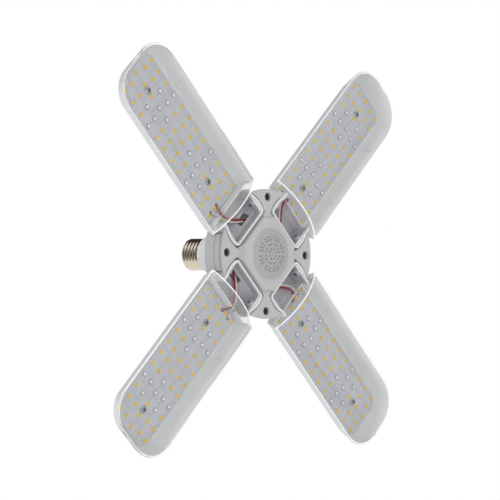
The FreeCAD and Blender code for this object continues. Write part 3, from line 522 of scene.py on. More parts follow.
class GeometryTree:
    """A tree of geometry nodes with named sizes, which makes plain meshes."""

    def __init__(self, name: str, sizes: dict[str, float]) -> None:
        """Open the tree.

        Args:
            name: Name of the tree.
            sizes: Value of each named input, in metres.
        """
        self.sizes = sizes
        self.tree = bpy.data.node_groups.new(name, "GeometryNodeTree")
        ports = self.tree.interface
        ports.new_socket("Geometry", in_out="INPUT", socket_type="NodeSocketGeometry")
        for size in sizes:
            ports.new_socket(size, in_out="INPUT", socket_type="NodeSocketFloat")
        ports.new_socket("Material", in_out="INPUT", socket_type="NodeSocketMaterial")
        ports.new_socket("Geometry", in_out="OUTPUT", socket_type="NodeSocketGeometry")
        self.given = add_node(self.tree, "NodeGroupInput").outputs

    def add(self, kind: str, inputs: dict | None = None, **settings: object) -> bpy.types.bpy_prop_collection:
        """Add a node and return its outputs."""
        return add_node(self.tree, kind, inputs, **settings).outputs

    def closed(self, face: Socket, height: Socket) -> tuple[Socket, Socket]:
        """Raise a flat face to a closed block.

        Args:
            face: Flat face, looking up.
            height: How far to raise it.

        Returns:
            The block, and the choice of its top face.
        """
        raised = self.add("GeometryNodeExtrudeMesh", {"Mesh": face, "Offset Scale": height})
        foot = self.add("GeometryNodeFlipFaces", {"Mesh": face})
        both = self.add("GeometryNodeJoinGeometry", {0: [foot["Mesh"], raised["Mesh"]]})
        whole = self.add("GeometryNodeMergeByDistance", {"Geometry": both["Geometry"], "Distance": WELD})
        return whole["Geometry"], raised["Top"]

    def domed(self, block: Socket, top: Socket, height: Socket, steps: Steps) -> Socket:
        """Raise a block's top in steps, each narrower than the last.

        Args:
            block: The block.
            top: The choice of its top face.
            height: The height that the steps share.
            steps: The narrowing of each step, and its part of the height.

        Returns:
            The domed block.
        """
        for share, part in steps:
            lift = self.add(SUM, {0: height, 1: part}, operation="MULTIPLY")[0]
            step = self.add("GeometryNodeExtrudeMesh", {"Mesh": block, "Selection": top, "Offset Scale": lift})
            top = step["Top"]
            inputs = {"Geometry": step["Mesh"], "Selection": top, "Scale": share}
            block = self.add("GeometryNodeScaleElements", inputs)["Geometry"]
        return block

    def set_out(self, shape: Socket, turn: object = (0.0, 0.0, 0.0)) -> Socket:
        """Set a shape out on the given points and return the instances."""
        inputs = {"Points": self.given["Geometry"], "Instance": shape, "Rotation": turn}
        return self.add("GeometryNodeInstanceOnPoints", inputs)["Instances"]

    def close(self, result: Socket, smooth: bool = False, kept: bpy.types.Material | None = None) -> None:
        """Finish the tree: real geometry, shaded and with its material.

        Args:
            result: The geometry to hand out.
            smooth: Whether its faces are shaded as one smooth surface.
            kept: Material that stays on the faces that have it already.
        """
        real = self.add("GeometryNodeRealizeInstances", {"Geometry": result})["Geometry"]
        shaded = self.add("GeometryNodeSetShadeSmooth", {"Geometry": real, "Shade Smooth": smooth})["Geometry"]
        inputs = {"Geometry": shaded, "Material": self.given["Material"]}
        if kept:
            has_it = self.add("GeometryNodeMaterialSelection", {"Material": kept})[0]
            inputs["Selection"] = self.add("FunctionNodeBooleanMath", {0: has_it}, operation="NOT")[0]
        dressed = self.add("GeometryNodeSetMaterial", inputs)["Geometry"]
        self.add("NodeGroupOutput", {"Geometry": dressed})

    def make(
        self,
        name: str,
        points: list[Vector],
        finish: Finish,
        place: Matrix,
        joined: bool = False,
        wall: float = 0.0,
    ) -> Piece:
        """Run the tree on points and keep the result as a plain mesh.

        Args:
            name: Name of the new piece.
            points: Points that the tree starts from.
            finish: Finish of the piece.
            place: Where the finished mesh goes.
            joined: Whether the points are a line.
            wall: Thickness that the surface gets on its inside.

        Returns:
            The piece, at the origin.
        """
        source = bpy.data.meshes.new(name)
        runs = [(i, i + 1) for i in range(len(points) - 1)] if joined else []
        source.from_pydata(points, runs, [])
        carrier = bpy.data.objects.new(f"{name}_carrier", source)
        modifier = carrier.modifiers.new("shape", "NODES")
        modifier.node_group = self.tree
        values = {**self.sizes, "Material": finish.material()}
        for port in self.tree.interface.items_tree:
            if port.in_out == "INPUT" and port.name in values:
                modifier[port.identifier] = values[port.name]
        return settled(name, carrier, place, wall)


def dress(node: str, finish: Finish, lie: Lie = Lie.ALONG_X) -> None:
    """Give a CAD node its finish.

    Args:
        node: Name of the node.
        finish: Its finish.
        lie: Which way the finish runs on it.
    """
    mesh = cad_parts[node].data
    mesh.materials.clear()
    mesh.materials.append(finish.material(lie))
    LOG.info("%s: %s", node, finish.name)


def put(piece: Piece, body: str, slot: str, *nodes: str) -> None:
    """Let a piece ride on a body in place of CAD nodes.

    Args:
        piece: The finished piece.
        body: Body that it moves with.
        slot: Slot for its finish; not used.
        *nodes: CAD nodes that it stands for.
    """
    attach(piece, body)
    if nodes:
        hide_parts(*nodes)


@dataclass
class CrossHeadScrew:
    """A screw with a domed head and a dark cross recess. Sizes are millimetres.

    The skirt and the second number of each step of the dome are parts of the head's height. The first number is
    the step's narrowing.
    """

    head_radius: float = 2.9
    head_height: float = 1.6
    shank_radius: float = 1.4
    shank_length: float = 2.6
    slot_length: float = 3.6
    slot_width: float = 0.85
    slot_depth: float = 1.1
    skirt: float = 0.25
    dome: Steps = ((0.93, 0.27), (0.84, 0.22), (0.68, 0.16), (0.4, 0.1))
    sides: int = 32
    shank_sides: int = 16
    seed: int = 4

    def tree(self, name: str) -> GeometryTree:
        """Build the tree that sets such screws out on points, heads up, each turned at random.

        Args:
            name: Name of the tree.

        Returns:
            The tree.
        """
        sizes = named_sizes(self, "head_radius", "head_height", "shank_radius", "shank_length")
        sizes |= named_sizes(self, "slot_length", "slot_width", "slot_depth")
        tree = GeometryTree(name, sizes)
        given = tree.given
        inputs = {"Vertices": self.sides, "Radius": given["Head Radius"]}
        disc = tree.add("GeometryNodeMeshCircle", inputs, fill_type="NGON")["Mesh"]
        skirt = tree.add(SUM, {0: given["Head Height"], 1: self.skirt}, operation="MULTIPLY")[0]
        head, top = tree.closed(disc, skirt)
        head = tree.domed(head, top, given["Head Height"], self.dome)
        inputs = {0: given["Slot Length"], 1: given["Slot Width"], 2: given["Slot Depth"]}
        size = tree.add("ShaderNodeCombineXYZ", inputs)[0]
        cutter = tree.add("GeometryNodeMeshCube", {"Size": size})["Mesh"]
        # The recess walls get their own near-black material: partly oxide, partly painted shade.
        recess_oxide_and_shade = RECESS_OXIDE_AND_SHADE.material()
        cutter = tree.add("GeometryNodeSetMaterial", {"Geometry": cutter, "Material": recess_oxide_and_shade})["Geometry"]
        level = tree.add("ShaderNodeCombineXYZ", {2: given["Head Height"]})[0]
        for turn in (0.0, math.pi / 2):
            inputs = {"Geometry": cutter, "Translation": level, "Rotation": (0.0, 0.0, turn)}
            cross = tree.add("GeometryNodeTransform", inputs)["Geometry"]
            inputs = {"Mesh 1": head, "Mesh 2": cross}
            cut = tree.add("GeometryNodeMeshBoolean", inputs, operation="DIFFERENCE", solver="EXACT")
            head = cut["Mesh"]
        inputs = {"Vertices": self.shank_sides, "Radius": given["Shank Radius"], "Depth": given["Shank Length"]}
        shank = tree.add("GeometryNodeMeshCylinder", inputs)["Mesh"]
        sunk = tree.add(SUM, {0: given["Shank Length"], 1: -0.5}, operation="MULTIPLY")[0]
        low = tree.add("ShaderNodeCombineXYZ", {2: sunk})[0]
        shank = tree.add("GeometryNodeTransform", {"Geometry": shank, "Translation": low})["Geometry"]
        both = tree.add("GeometryNodeJoinGeometry", {0: [head, shank]})["Geometry"]
        inputs = {2: 0.0, 3: math.pi, "Seed": self.seed}
        turn = tree.add("FunctionNodeRandomValue", inputs, data_type="FLOAT")[1]
        tree.close(tree.set_out(both, tree.add("ShaderNodeCombineXYZ", {2: turn})[0]), kept=recess_oxide_and_shade)
        return tree


@dataclass
class ScrewCap:
    """The screw cap: a thin shell with a rolled thread. Sizes are millimetres."""

    crest_radius: float = 13.1
    thread_depth: float = 0.45
    pitch: float = 3.62
    length: float = 21.0
    plain_end: float = 1.6
    shoulder: float = 19.0
    mouth_radius: float = 10.0
    run_in: float = 1.5
    run_out: float = 1.0
    wall: float = 0.4
    points_round: int = 121
    points_along: int = 85

    def tree(self) -> GeometryTree:
        """Build the tree that rolls a flat grid round and presses the thread into it.

        Returns:
            The tree.
        """
        sizes = named_sizes(self, "crest_radius", "thread_depth", "pitch", "plain_end", "run_in", "run_out")
        sizes |= named_sizes(self, "length", "shoulder", "mouth_radius")
        tree = GeometryTree("rolled_thread", sizes)
        given = tree.given
        counts = {"Vertices X": self.points_round, "Vertices Y": self.points_along}
        grid = tree.add("GeometryNodeMeshGrid", {"Size X": 1.0, "Size Y": 1.0, **counts})["Mesh"]
        place = tree.add("ShaderNodeSeparateXYZ", {0: tree.add("GeometryNodeInputPosition")[0]})
        turns = tree.add(SUM, {0: place[0], 1: 0.5}, operation="ADD")[0]
        upward = tree.add(SUM, {0: place[1], 1: 0.5}, operation="ADD")[0]
        rise = tree.add(SUM, {0: upward, 1: given["Length"]}, operation="MULTIPLY")[0]

        wound = tree.add(SUM, {0: rise, 1: given["Pitch"]}, operation="DIVIDE")[0]
        lead = tree.add(SUM, {0: wound, 1: turns}, operation="SUBTRACT")[0]
        phase = tree.add(SUM, {0: lead, 1: math.tau}, operation="MULTIPLY")[0]
        wave = tree.add(SUM, {0: phase}, operation="COSINE")[0]
        valley = tree.add(SUM, {0: wave, 1: -0.5, 2: 0.5}, operation="MULTIPLY_ADD")[0]
        full = tree.add(SUM, {0: given["Plain End"], 1: given["Run In"]}, operation="ADD")[0]
        fading = tree.add(SUM, {0: given["Shoulder"], 1: given["Run Out"]}, operation="SUBTRACT")[0]
        pressed = given["Thread Depth"]
        for begin, end, limits in (
            (given["Plain End"], full, {}),
            (fading, given["Shoulder"], {"To Min": 1.0, "To Max": 0.0}),
        ):
            inputs = {"Value": rise, "From Min": begin, "From Max": end, **limits}
            part = tree.add("ShaderNodeMapRange", inputs, interpolation_type="SMOOTHSTEP")[0]
            pressed = tree.add(SUM, {0: part, 1: pressed}, operation="MULTIPLY")[0]
        dent = tree.add(SUM, {0: pressed, 1: valley}, operation="MULTIPLY")[0]

        inputs = {
            "Value": rise,
            "From Min": given["Shoulder"],
            "From Max": given["Length"],
            "To Min": given["Crest Radius"],
            "To Max": given["Mouth Radius"],
        }
        taper = tree.add("ShaderNodeMapRange", inputs)[0]
        radius = tree.add(SUM, {0: taper, 1: dent}, operation="SUBTRACT")[0]
        angle = tree.add(SUM, {0: turns, 1: math.tau}, operation="MULTIPLY")[0]
        inputs = {2: rise}
        for axis, function in enumerate(("COSINE", "SINE")):
            share = tree.add(SUM, {0: angle}, operation=function)[0]
            inputs[axis] = tree.add(SUM, {0: radius, 1: share}, operation="MULTIPLY")[0]
        spot = tree.add("ShaderNodeCombineXYZ", inputs)[0]
        rolled = tree.add("GeometryNodeSetPosition", {"Geometry": grid, "Position": spot})["Geometry"]
        seamless = tree.add("GeometryNodeMergeByDistance", {"Geometry": rolled, "Distance": WELD})["Geometry"]
        tree.close(seamless, smooth=True)
        return tree

    def build(self) -> None:
        """Make the threaded shell and dress the rest of the cap."""
        centre = [Vector()]
        shell = self.tree().make("cap_rolled_shell", centre, NICKEL, Matrix.Identity(4), wall=self.wall * MM)
        put(shell, "hub", "nickel", "cap_shell")
        dress("cap_insulator", BLACK_GLASS)
        dress("cap_contact", TIN)


@dataclass
class Hub:
    """The round hub with its cover, screws and driver. Sizes are millimetres."""

    screw_circle: float = 45.5
    screw_seat: float = 62.6
    screw: CrossHeadScrew = field(default_factory=lambda: CrossHeadScrew(shank_length=13.0, seed=9))

    def build(self) -> None:
        """Dress the housings and the driver, and make the ear screws."""
        for node, finish in (
            ("hub_rear_housing", HUB_ABS),
            ("hub_front_cover", HUB_ABS),
            ("driver_board", GREEN_BOARD),
            ("driver_capacitor", SLEEVE),
            ("driver_choke", FERRITE),
            ("live_lead", RED_PVC),
            ("neutral_lead", WHITE_PVC),
        ):
            dress(node, finish)
        reach = self.screw_circle * MM
        spots = [
            Vector((reach * math.cos(a), reach * math.sin(a), self.screw_seat * MM))
            for a in (math.radians(45 + 90 * k) for k in range(4))
        ]
        turned_over = Matrix.Rotation(math.pi, 4, "X")
        screws = self.screw.tree("ear_screws").make("hub_ear_screws", spots, BLACK_STEEL, turned_over)
        put(screws, "hub", "dark_steel", "hub_screws")


class LedKind(Enum):
    """What an LED is filled with."""

    WARM = "warm"
    CLEAR = "clear"


@dataclass
class LedPackage:
    """A small LED: a cup with gel in its window. Sizes are millimetres."""

    width: float = 3.6
    cup_height: float = 0.62
    window: float = 3.1
    sink: float = 0.12
    gel_crown: float = 0.2
    crown_steps: Steps = ((0.8, 0.6), (0.7, 0.3))
    corner: float = 0.35
    corner_points: int = 3

    def rounded(self, tree: GeometryTree, side: Socket) -> Socket:
        """Draw a flat rounded square.

        Args:
            tree: Tree that draws it.
            side: Length of its side.

        Returns:
            The face.
        """
        square = tree.add("GeometryNodeCurvePrimitiveQuadrilateral", {"Width": side, "Height": side})["Curve"]
        inputs = {"Curve": square, "Radius": tree.given["Corner"], "Count": self.corner_points}
        eased = tree.add("GeometryNodeFilletCurve", inputs, mode="POLY")["Curve"]
        return tree.add("GeometryNodeFillCurve", {"Curve": eased}, mode="NGONS")["Mesh"]

    def cups(self) -> GeometryTree:
        """Build the tree that sets the cups out on points.

        Returns:
            The tree.
        """
        sizes = named_sizes(self, "width", "cup_height", "corner")
        tree = GeometryTree("led_cups", {**sizes, "Sink": -self.sink * MM})
        block, top = tree.closed(self.rounded(tree, tree.given["Width"]), tree.given["Cup Height"])
        rim = tree.add("GeometryNodeExtrudeMesh", {"Mesh": block, "Selection": top, "Offset Scale": 0.0})
        inputs = {"Geometry": rim["Mesh"], "Selection": rim["Top"], "Scale": self.window / self.width}
        inset = tree.add("GeometryNodeScaleElements", inputs)["Geometry"]
        inputs = {"Mesh": inset, "Selection": rim["Top"], "Offset Scale": tree.given["Sink"]}
        tree.close(tree.set_out(tree.add("GeometryNodeExtrudeMesh", inputs)["Mesh"]))
        return tree

    def gels(self) -> GeometryTree:
        """Build the tree that fills the cups' windows with a low crown of gel.

        Returns:
            The tree.
        """
        tree = GeometryTree("led_gels", named_sizes(self, "window", "gel_crown", "sink", "corner"))
        gel, top = tree.closed(self.rounded(tree, tree.given["Window"]), tree.given["Sink"])
        gel = tree.domed(gel, top, tree.given["Gel Crown"], self.crown_steps)
        tree.close(tree.set_out(gel), smooth=True)
        return tree


@dataclass
class LensShell:
    """The clear lens: an arched sheet that falls to the rim, and a flat sheet that shuts its inner end.

    Sizes are millimetres, and the step at the end's tab is a share of the half width.
    """

    start: float = 51.5
    tip: float = 203.0
    half: float = 32.0
    corner: float = 24.5
    rim: float = 62.0
    spring: float = 63.2
    rise: float = 8.3
    dome: float = 42.0
    tab_half: float = 26.0
    tab_drop: float = 57.2
    tab_step: float = 0.004
    wall: float = 1.2
    end_share: float = 0.42
    end_gap: float = 0.03
    columns: int = 40
    rows: int = 34
    tip_rows: int = 26

    def width(self, out: float) -> float:
        """Return half the width of the plan at a place along the blade."""
        past = max(out - (self.tip - self.corner), 0.0)
        return self.half - self.corner + math.sqrt(max(self.corner**2 - past**2, 0.0))

    def crown(self, out: float) -> float:
        """Return the share of the full rise that the middle has at a place along the blade."""
        past = max(out - (self.tip - self.dome), 0.0)
        bend = (self.dome**2 + self.rise**2) / (2 * self.rise)
        return 1.0 - (bend - math.sqrt(bend**2 - past**2)) / self.rise

    def arch(self, share: float) -> float:
        """Return the share of the rise that is left at a share of the half width."""
        bend = (self.half**2 + self.rise**2) / (2 * self.rise)
        return (math.sqrt(bend**2 - (share * self.half) ** 2) - bend + self.rise) / self.rise

    def row(self, out: float, floor: bool = False) -> list[Vector]:
        """Return the points of one row across the lens, from edge to edge.

        Args:
            out: Place along the blade.
            floor: Whether the row is the foot of the inner end instead.

        Returns:
            The points, the first and the last on the rim.
        """
        tab = self.tab_half / self.half
        even = [2 * i / self.columns - 1 for i in range(self.columns + 1)]
        beside = tab + self.tab_step
        shares = sorted({*even, -tab, tab, -beside, beside})
        points = []
        for share in shares:
            across = share * self.width(out)
            drop = self.spring + self.rise * self.crown(out) * self.arch(share)
            if floor:
                drop = self.tab_drop if abs(share) <= tab else self.rim
            points.append(Vector((out, across, drop)) * MM)
        ends = [Vector((out, side * self.width(out), self.rim)) * MM for side in (-1, 1)]
        return [ends[0], *points, ends[1]]

    def build(self, name: str, place: Matrix, lie: Lie) -> Piece:
        """Make the lens.

        Args:
            name: Name of the piece.
            place: Where it goes.
            lie: Which way the blade runs.

        Returns:
            The piece.
        """
        begin = self.start + self.end_share * self.wall + self.end_gap
        bend = self.tip - self.dome
        outs = [begin + (bend - begin) * i / self.rows for i in range(self.rows)]
        outs += [bend + self.dome * math.sin(math.pi / 2 * i / self.tip_rows) for i in range(self.tip_rows + 1)]
        rows = [self.row(self.start, floor=True), self.row(self.start)]
        end_points = sum(len(row) for row in rows)
        rows += [self.row(out) for out in outs]
        rows.append([Vector((point.x, point.y, self.rim * MM)) for point in rows[-1]])
        across = len(rows[0])
        faces = []
        for i in (0, *range(2, len(rows) - 1)):
            for j in range(across - 1):
                near = i * across + j
                faces.append((near, near + across, near + across + 1, near + 1))
        points = [point for row in rows for point in row]
        mesh = bpy.data.meshes.new(name)
        mesh.from_pydata(points, [], faces)
        for finish in (LENS_CLEAR, LENS_EDGE_GLOW):
            mesh.materials.append(finish.material(lie))
        mesh.shade_smooth()
        carrier = bpy.data.objects.new(f"{name}_carrier", mesh)
        sheet = carrier.vertex_groups.new(name="sheet")
        sheet.add(range(end_points), self.end_share, "REPLACE")
        sheet.add(range(end_points, len(points)), 1.0, "REPLACE")
        weld = carrier.modifiers.new("weld", "WELD")
        weld.merge_threshold = WELD
        return settled(name, carrier, place, self.wall * MM, cut_edge=1)


@dataclass
class Lead:
    """One wire of a blade. The two run out and down alike and differ across. Sizes are millimetres."""

    name: str
    slot: str
    finish: Finish
    across: tuple[float, ...]
    outs: tuple[float, ...] = (58.2, 54.1, 47.5, 37.0, 28.4, 20.4, 16.4, 16.4)
    drops: tuple[float, ...] = (52.15, 53.5, 54.4, 54.8, 54.0, 53.0, 47.6, 43.9)
    radius: float = 0.75
    sides: int = 14
    order: int = 3
    steps: int = 12

    def line(self) -> list[Vector]:
        """Read the wire's smooth line from a spline that its places control.

        Returns:
            Points along the line.
        """
        curve = bpy.data.curves.new(self.name, "CURVE")
        curve.dimensions = "3D"
        spline = curve.splines.new("NURBS")
        spline.points.add(len(self.outs) - 1)
        for point, *spot in zip(spline.points, self.outs, self.across, self.drops):
            point.co = (*(MM * c for c in spot), 1.0)
        spline.order_u = self.order
        spline.use_endpoint_u = True
        spline.resolution_u = self.steps
        holder = bpy.data.objects.new(self.name, curve)
        bpy.context.scene.collection.objects.link(holder)
        graph = bpy.context.evaluated_depsgraph_get()
        mesh = bpy.data.meshes.new_from_object(holder.evaluated_get(graph), depsgraph=graph)
        points = [vertex.co.copy() for vertex in mesh.vertices]
        bpy.data.meshes.remove(mesh)
        bpy.data.objects.remove(holder)
        return points

    def tree(self) -> GeometryTree:
        """Build the tree that draws a round tube along a line.

        Returns:
            The tree.
        """
        tree = GeometryTree(f"{self.name}_tube", named_sizes(self, "radius"))
        path = tree.add("GeometryNodeMeshToCurve", {"Mesh": tree.given["Geometry"]})["Curve"]
        inputs = {"Resolution": self.sides, "Radius": tree.given["Radius"]}
        ring = tree.add("GeometryNodeCurvePrimitiveCircle", inputs)["Curve"]
        inputs = {"Curve": path, "Profile Curve": ring, "Fill Caps": True}
        tree.close(tree.add("GeometryNodeCurveToMesh", inputs)["Mesh"], smooth=True)
        return tree


RED_ACROSS = (5.5, 8.6, 8.6, 0.5, -10.6, -10.6, -10.0, -10.0)
WHITE_ACROSS = (14.5, 11.4, 11.4, 3.2, -8.0, -8.0, -7.0, -7.0)
RED_LEAD = Lead("red_wire", "red_insulation", RED_PVC, RED_ACROSS)
WHITE_LEAD = Lead("white_wire", "white_insulation", WHITE_PVC, WHITE_ACROSS)


@dataclass
class Blades:
    """The four folding blades, in a blade's own coordinates. Sizes are millimetres, the ribs' lean radians."""

    first_row: float = 58.2
    pitch: float = 11.6
    board_top: float = 51.4
    outer_column: float = 18.2
    inner_column: float = 9.4
    middle_shift: float = 2.5
    screw_places: tuple[float, float] = (78.1, 170.9)
    rib_places: tuple[float, float] = (90.0, 156.5)
    rib_across: float = 27.5
    rib_drop: float = 56.4
    rib_thickness: float = 1.3
    rib_stand: float = 0.9
    rib_reach: float = 6.0
    rib_lean: float = 0.475
    solder_radius: float = 1.5
    solder_form: tuple[float, float, float] = (1.2, 0.95, 0.75)
    solder_segments: int = 16
    hinge_reach: float = 38.0
    bend_reach: float = 7.0
    warm_package: LedPackage = field(default_factory=lambda: LedPackage(window=3.3))
    clear_package: LedPackage = field(default_factory=lambda: LedPackage(window=2.6))
    lens: LensShell = field(default_factory=LensShell)
    screw: CrossHeadScrew = field(default_factory=lambda: CrossHeadScrew(slot_length=4.4, slot_width=1.2))

    def led_spots(self, kind: LedKind) -> list[Vector]:
        """Return where the LEDs of a kind stand.

        Args:
            kind: Kind of LED.

        Returns:
            Centres of the LEDs' feet.
        """
        outer, inner = self.outer_column, self.inner_column
        spots = []
        for rows, places, shift in (
            ("wwwcwwwwcwww", (outer, -outer), 0.0),
            ("wwccwwwwccww", (inner, -inner), 0.0),
            ("wwwccwwccwww", (0.0,), self.middle_shift),
        ):
            for across in places:
                for row, mark in enumerate(rows):
                    if mark == kind.value[0]:
                        out = self.first_row + self.pitch * row + shift
                        spots.append(MM * Vector((out, across, self.board_top)))
        return spots

    def ribs(self) -> GeometryTree:
        """Build the tree of the small snap ribs, which lean with the tray's walls.

        Returns:
            The tree.
        """
        sizes = named_sizes(self, "rib_thickness", "rib_stand", "rib_reach")
        tree = GeometryTree("snap_ribs", {**sizes, "Rib Lean": self.rib_lean})
        given = tree.given
        inputs = {0: given["Rib Thickness"], 1: given["Rib Stand"], 2: given["Rib Reach"]}
        size = tree.add("ShaderNodeCombineXYZ", inputs)[0]
        rib = tree.add("GeometryNodeMeshCube", {"Size": size})["Mesh"]
        place = tree.add("ShaderNodeSeparateXYZ", {0: tree.add("GeometryNodeInputPosition")[0]})
        side = tree.add(SUM, {0: place[1]}, operation="SIGN")[0]
        inward = tree.add(SUM, {0: given["Rib Lean"], 1: -1.0}, operation="MULTIPLY")[0]
        lean = tree.add(SUM, {0: side, 1: inward}, operation="MULTIPLY")[0]
        tree.close(tree.set_out(rib, tree.add("ShaderNodeCombineXYZ", {0: lean})[0]))
        return tree

    def solder(self) -> GeometryTree:
        """Build the tree of the solder mounds at the wires' ends.

        Returns:
            The tree.
        """
        tree = GeometryTree("solder_mounds", named_sizes(self, "solder_radius"))
        inputs = {
            "Segments": self.solder_segments,
            "Rings": self.solder_segments // 2,
            "Radius": tree.given["Solder Radius"],
        }
        ball = tree.add("GeometryNodeMeshUVSphere", inputs)["Mesh"]
        mound = tree.add("GeometryNodeTransform", {"Geometry": ball, "Scale": self.solder_form})["Geometry"]
        tree.close(tree.set_out(mound), smooth=True)
        return tree

    def build(self) -> None:
        """Make and dress the four blades."""
        trees = {
            "warm_cups": self.warm_package.cups(),
            "warm_gels": self.warm_package.gels(),
            "clear_cups": self.clear_package.cups(),
            "clear_gels": self.clear_package.gels(),
            "screws": self.screw.tree("board_screws"),
            "ribs": self.ribs(),
            "solder": self.solder(),
        }
        wires = [(lead, lead.line(), lead.tree()) for lead in (RED_LEAD, WHITE_LEAD)]
        for quarter in range(4):
            self.build_blade(quarter, trees, wires)

    def build_blade(
        self, quarter: int, trees: dict[str, GeometryTree], wires: list[tuple[Lead, list[Vector], GeometryTree]]
    ) -> None:
        """Make and dress one blade.

        Args:
            quarter: Which blade, from 0.
            trees: Trees of the pieces that repeat.
            wires: Each wire with its line and its tree.
        """
        body = f"blade_{quarter + 1}"
        place = Matrix.Rotation(math.radians(90 * quarter), 4, "Z") @ Matrix.Rotation(math.pi, 4, "X")
        lie = Lie.ALONG_Y if quarter % 2 else Lie.ALONG_X
        dress(f"{body}_tray", TRAY_PLASTIC, lie)
        put(self.lens.build(f"{body}_clear_lens", place, lie), body, "clear_polycarbonate", f"{body}_lens")
        dress(f"{body}_led_board", BOARD_LACQUER, lie)
        dress(f"{body}_hinge_pins", PIN_STEEL, lie)

        for kind, package, cup_finish, gel_finish, slot in (
            (LedKind.WARM, self.warm_package, LED_CUP, WARM_GEL, "warm_phosphor"),
            (LedKind.CLEAR, self.clear_package, GREY_CUP, CLEAR_GEL, "clear_epoxy"),
        ):
            node = f"{body}_{kind.value}_leds"
            spots = self.led_spots(kind)
            lift = Vector((0.0, 0.0, (package.cup_height - package.sink) * MM))
            cups = trees[f"{kind.value}_cups"].make(f"{body}_{kind.value}_cups", spots, cup_finish, place)
            put(cups, body, "clear_epoxy", node)
            spots = [spot + lift for spot in spots]
            gel = trees[f"{kind.value}_gels"].make(f"{body}_{kind.value}_gel", spots, gel_finish, place)
            put(gel, body, slot, node)

        spots = [MM * Vector((out, 0.0, self.board_top)) for out in self.screw_places]
        screws = trees["screws"].make(f"{body}_cross_screws", spots, GREY_STEEL, place)
        put(screws, body, "dark_steel", f"{body}_board_screws")

        sides = (-self.rib_across, self.rib_across)
        spots = [MM * Vector((out, across, self.rib_drop)) for out in self.rib_places for across in sides]
        put(trees["ribs"].make(f"{body}_snap_ribs", spots, TRAY_PLASTIC, place), body, "tray_plastic")

        ends = [MM * Vector((lead.outs[0], lead.across[0], self.board_top)) for lead, _, _ in wires]
        put(trees["solder"].make(f"{body}_solder", ends, SOLDER, place), body, "tinned_contact")
        for lead, line, tree in wires:
            wire = tree.make(f"{body}_{lead.name}", line, lead.finish, place, joined=True)
            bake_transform(wire)
            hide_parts(f"{body}_{lead.name.split('_')[0]}_lead")


@dataclass(frozen=True)
class Lamp:
    """One soft square lamp of the studio.

    It stands to the right of the object, up the picture and towards the camera by lengths in metres.
    """

    name: str
    aside: float
    up: float
    back: float
    size: float
    watts: float


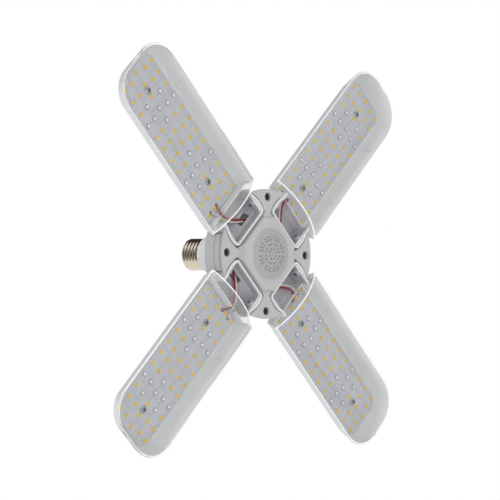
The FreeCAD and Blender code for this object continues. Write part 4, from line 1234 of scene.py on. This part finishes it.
@dataclass
class Studio:
    """Camera, lamps and white surround. The object hangs, so nothing stands under it.

    Angles are degrees, the sensor is millimetres and other lengths are metres. A dark side is a direction as the
    camera sees it, and how much of the white it takes away.
    """

    yaw: float = 46.49
    pitch: float = -1.39
    roll: float = -0.78
    distance: float = 1.639
    focal_pixels: float = 2049.0
    aside_pixels: float = 5.54
    down_pixels: float = 4.08
    picture_pixels: float = 500.0
    sensor: float = 36.0
    far: float = 30.0
    board_drop: float = 0.052
    ambient: float = 0.62
    lamps: tuple[Lamp, ...] = (
        Lamp("key", 0.75, 0.1, 0.4, 1.2, 2.1),
        Lamp("fill", -0.35, 0.0, 1.6, 1.4, 7.5),
        Lamp("back", -1.4, 0.9, -0.5, 1.4, 3.0),
    )
    dark_sides: tuple[tuple[tuple[float, float, float], float], ...] = (
        ((-0.3, 0.65, -0.7), 0.96),
        ((-1.0, 0.0, 0.1), 0.96),
        ((1.0, 0.0, 0.0), 0.45),
    )
    dark_edge: tuple[float, float] = (0.74, 0.86)

    def axes(self) -> Matrix:
        """Return the camera's right, up and back directions as the columns of a matrix."""
        turned = (
            Matrix.Rotation(math.radians(self.roll), 3, "Z")
            @ Matrix.Rotation(math.radians(self.pitch), 3, "X")
            @ Matrix.Rotation(math.radians(self.yaw), 3, "Y")
        )
        half = math.sqrt(0.5)
        lamp_face = Matrix(((half, half, 0.0), (half, -half, 0.0), (0.0, 0.0, -1.0)))
        return lamp_face @ turned.transposed()

    def camera(self) -> None:
        """Make the camera at the photograph's viewing angle."""
        data = bpy.data.cameras.new("camera")
        data.sensor_width = self.sensor
        data.lens = self.focal_pixels / self.picture_pixels * data.sensor_width
        data.shift_x = -self.aside_pixels / self.picture_pixels
        data.shift_y = self.down_pixels / self.picture_pixels
        data.clip_end = self.far
        seen_from = bpy.data.objects.new("camera", data)
        bpy.context.scene.collection.objects.link(seen_from)
        axes = self.axes()
        centre = Vector((0.0, 0.0, -self.board_drop))
        seen_from.matrix_world = Matrix.Translation(centre + axes.col[2] * self.distance) @ axes.to_4x4()
        bpy.context.scene.camera = seen_from

    def hang(self, lamp: Lamp) -> None:
        """Hang one lamp, placed as the camera sees it and turned to the object."""
        data = bpy.data.lights.new(lamp.name, "AREA")
        data.size = lamp.size
        data.energy = lamp.watts
        piece = bpy.data.objects.new(lamp.name, data)
        piece.visible_glossy = False
        bpy.context.scene.collection.objects.link(piece)
        offset = self.axes() @ Vector((lamp.aside, lamp.up, lamp.back))
        facing = offset.to_track_quat("Z", "Y").to_matrix().to_4x4()
        piece.matrix_world = Matrix.Translation(Vector((0.0, 0.0, -self.board_drop)) + offset) @ facing

    def surround(self) -> None:
        """Make the white world, which lights the object at a lower level than it shows.

        Three dark sides of the room show in reflections only: in bright metal, glossy plastic and the lens.
        """
        world = bpy.data.worlds.new("white_surround")
        bpy.context.scene.world = world
        world.use_nodes = True
        tree = world.node_tree
        tree.nodes.clear()
        path = add_node(tree, "ShaderNodeLightPath").outputs
        seen = path["Is Camera Ray"]
        for ray in ("Is Glossy Ray", "Is Transmission Ray"):
            seen = add_node(tree, SUM, {0: seen, 1: path[ray]}, operation="MAXIMUM").outputs[0]
        direct = add_node(tree, SUM, {0: path["Diffuse Depth"], 1: 0.5}, operation="LESS_THAN")
        shown = add_node(tree, SUM, {0: seen, 1: direct.outputs[0]}, operation="MULTIPLY")
        white = linear("#FFFFFF")
        lit = add_node(tree, "ShaderNodeBackground", {"Color": white, "Strength": self.ambient})
        towards = add_node(tree, "ShaderNodeTexCoord").outputs["Generated"]
        begin, full = self.dark_edge
        level = 1.0
        for side, depth in self.dark_sides:
            middle = (self.axes() @ Vector(side)).normalized()
            near = add_node(tree, "ShaderNodeVectorMath", {0: towards, 1: middle}, operation="DOT_PRODUCT")
            inputs = {"Value": near.outputs["Value"], "From Min": begin, "From Max": full, "To Max": depth}
            shade = add_node(tree, "ShaderNodeMapRange", inputs).outputs[0]
            shade = add_node(tree, SUM, {0: shade, 1: path["Is Glossy Ray"]}, operation="MULTIPLY")
            level = add_node(tree, SUM, {0: level, 1: shade.outputs[0]}, operation="SUBTRACT").outputs[0]
        room = add_node(tree, "ShaderNodeBackground", {"Color": white, "Strength": level})
        inputs = {0: shown.outputs[0], 1: lit.outputs[0], 2: room.outputs[0]}
        both = add_node(tree, "ShaderNodeMixShader", inputs)
        add_node(tree, "ShaderNodeOutputWorld", {"Surface": both.outputs[0]})

    def build(self) -> None:
        """Set the studio up."""
        bpy.context.scene.view_settings.view_transform = "Standard"
        self.camera()
        for lamp in self.lamps:
            self.hang(lamp)
        self.surround()


def main() -> None:
    """Build every sub-assembly in order, with a log of the pieces that it makes."""
    logging.basicConfig(level=logging.INFO, format="%(name)s %(message)s")
    for part in (ScrewCap(), Hub(), Blades(), Studio()):
        part.build()


if __name__ == "__main__":
    main()
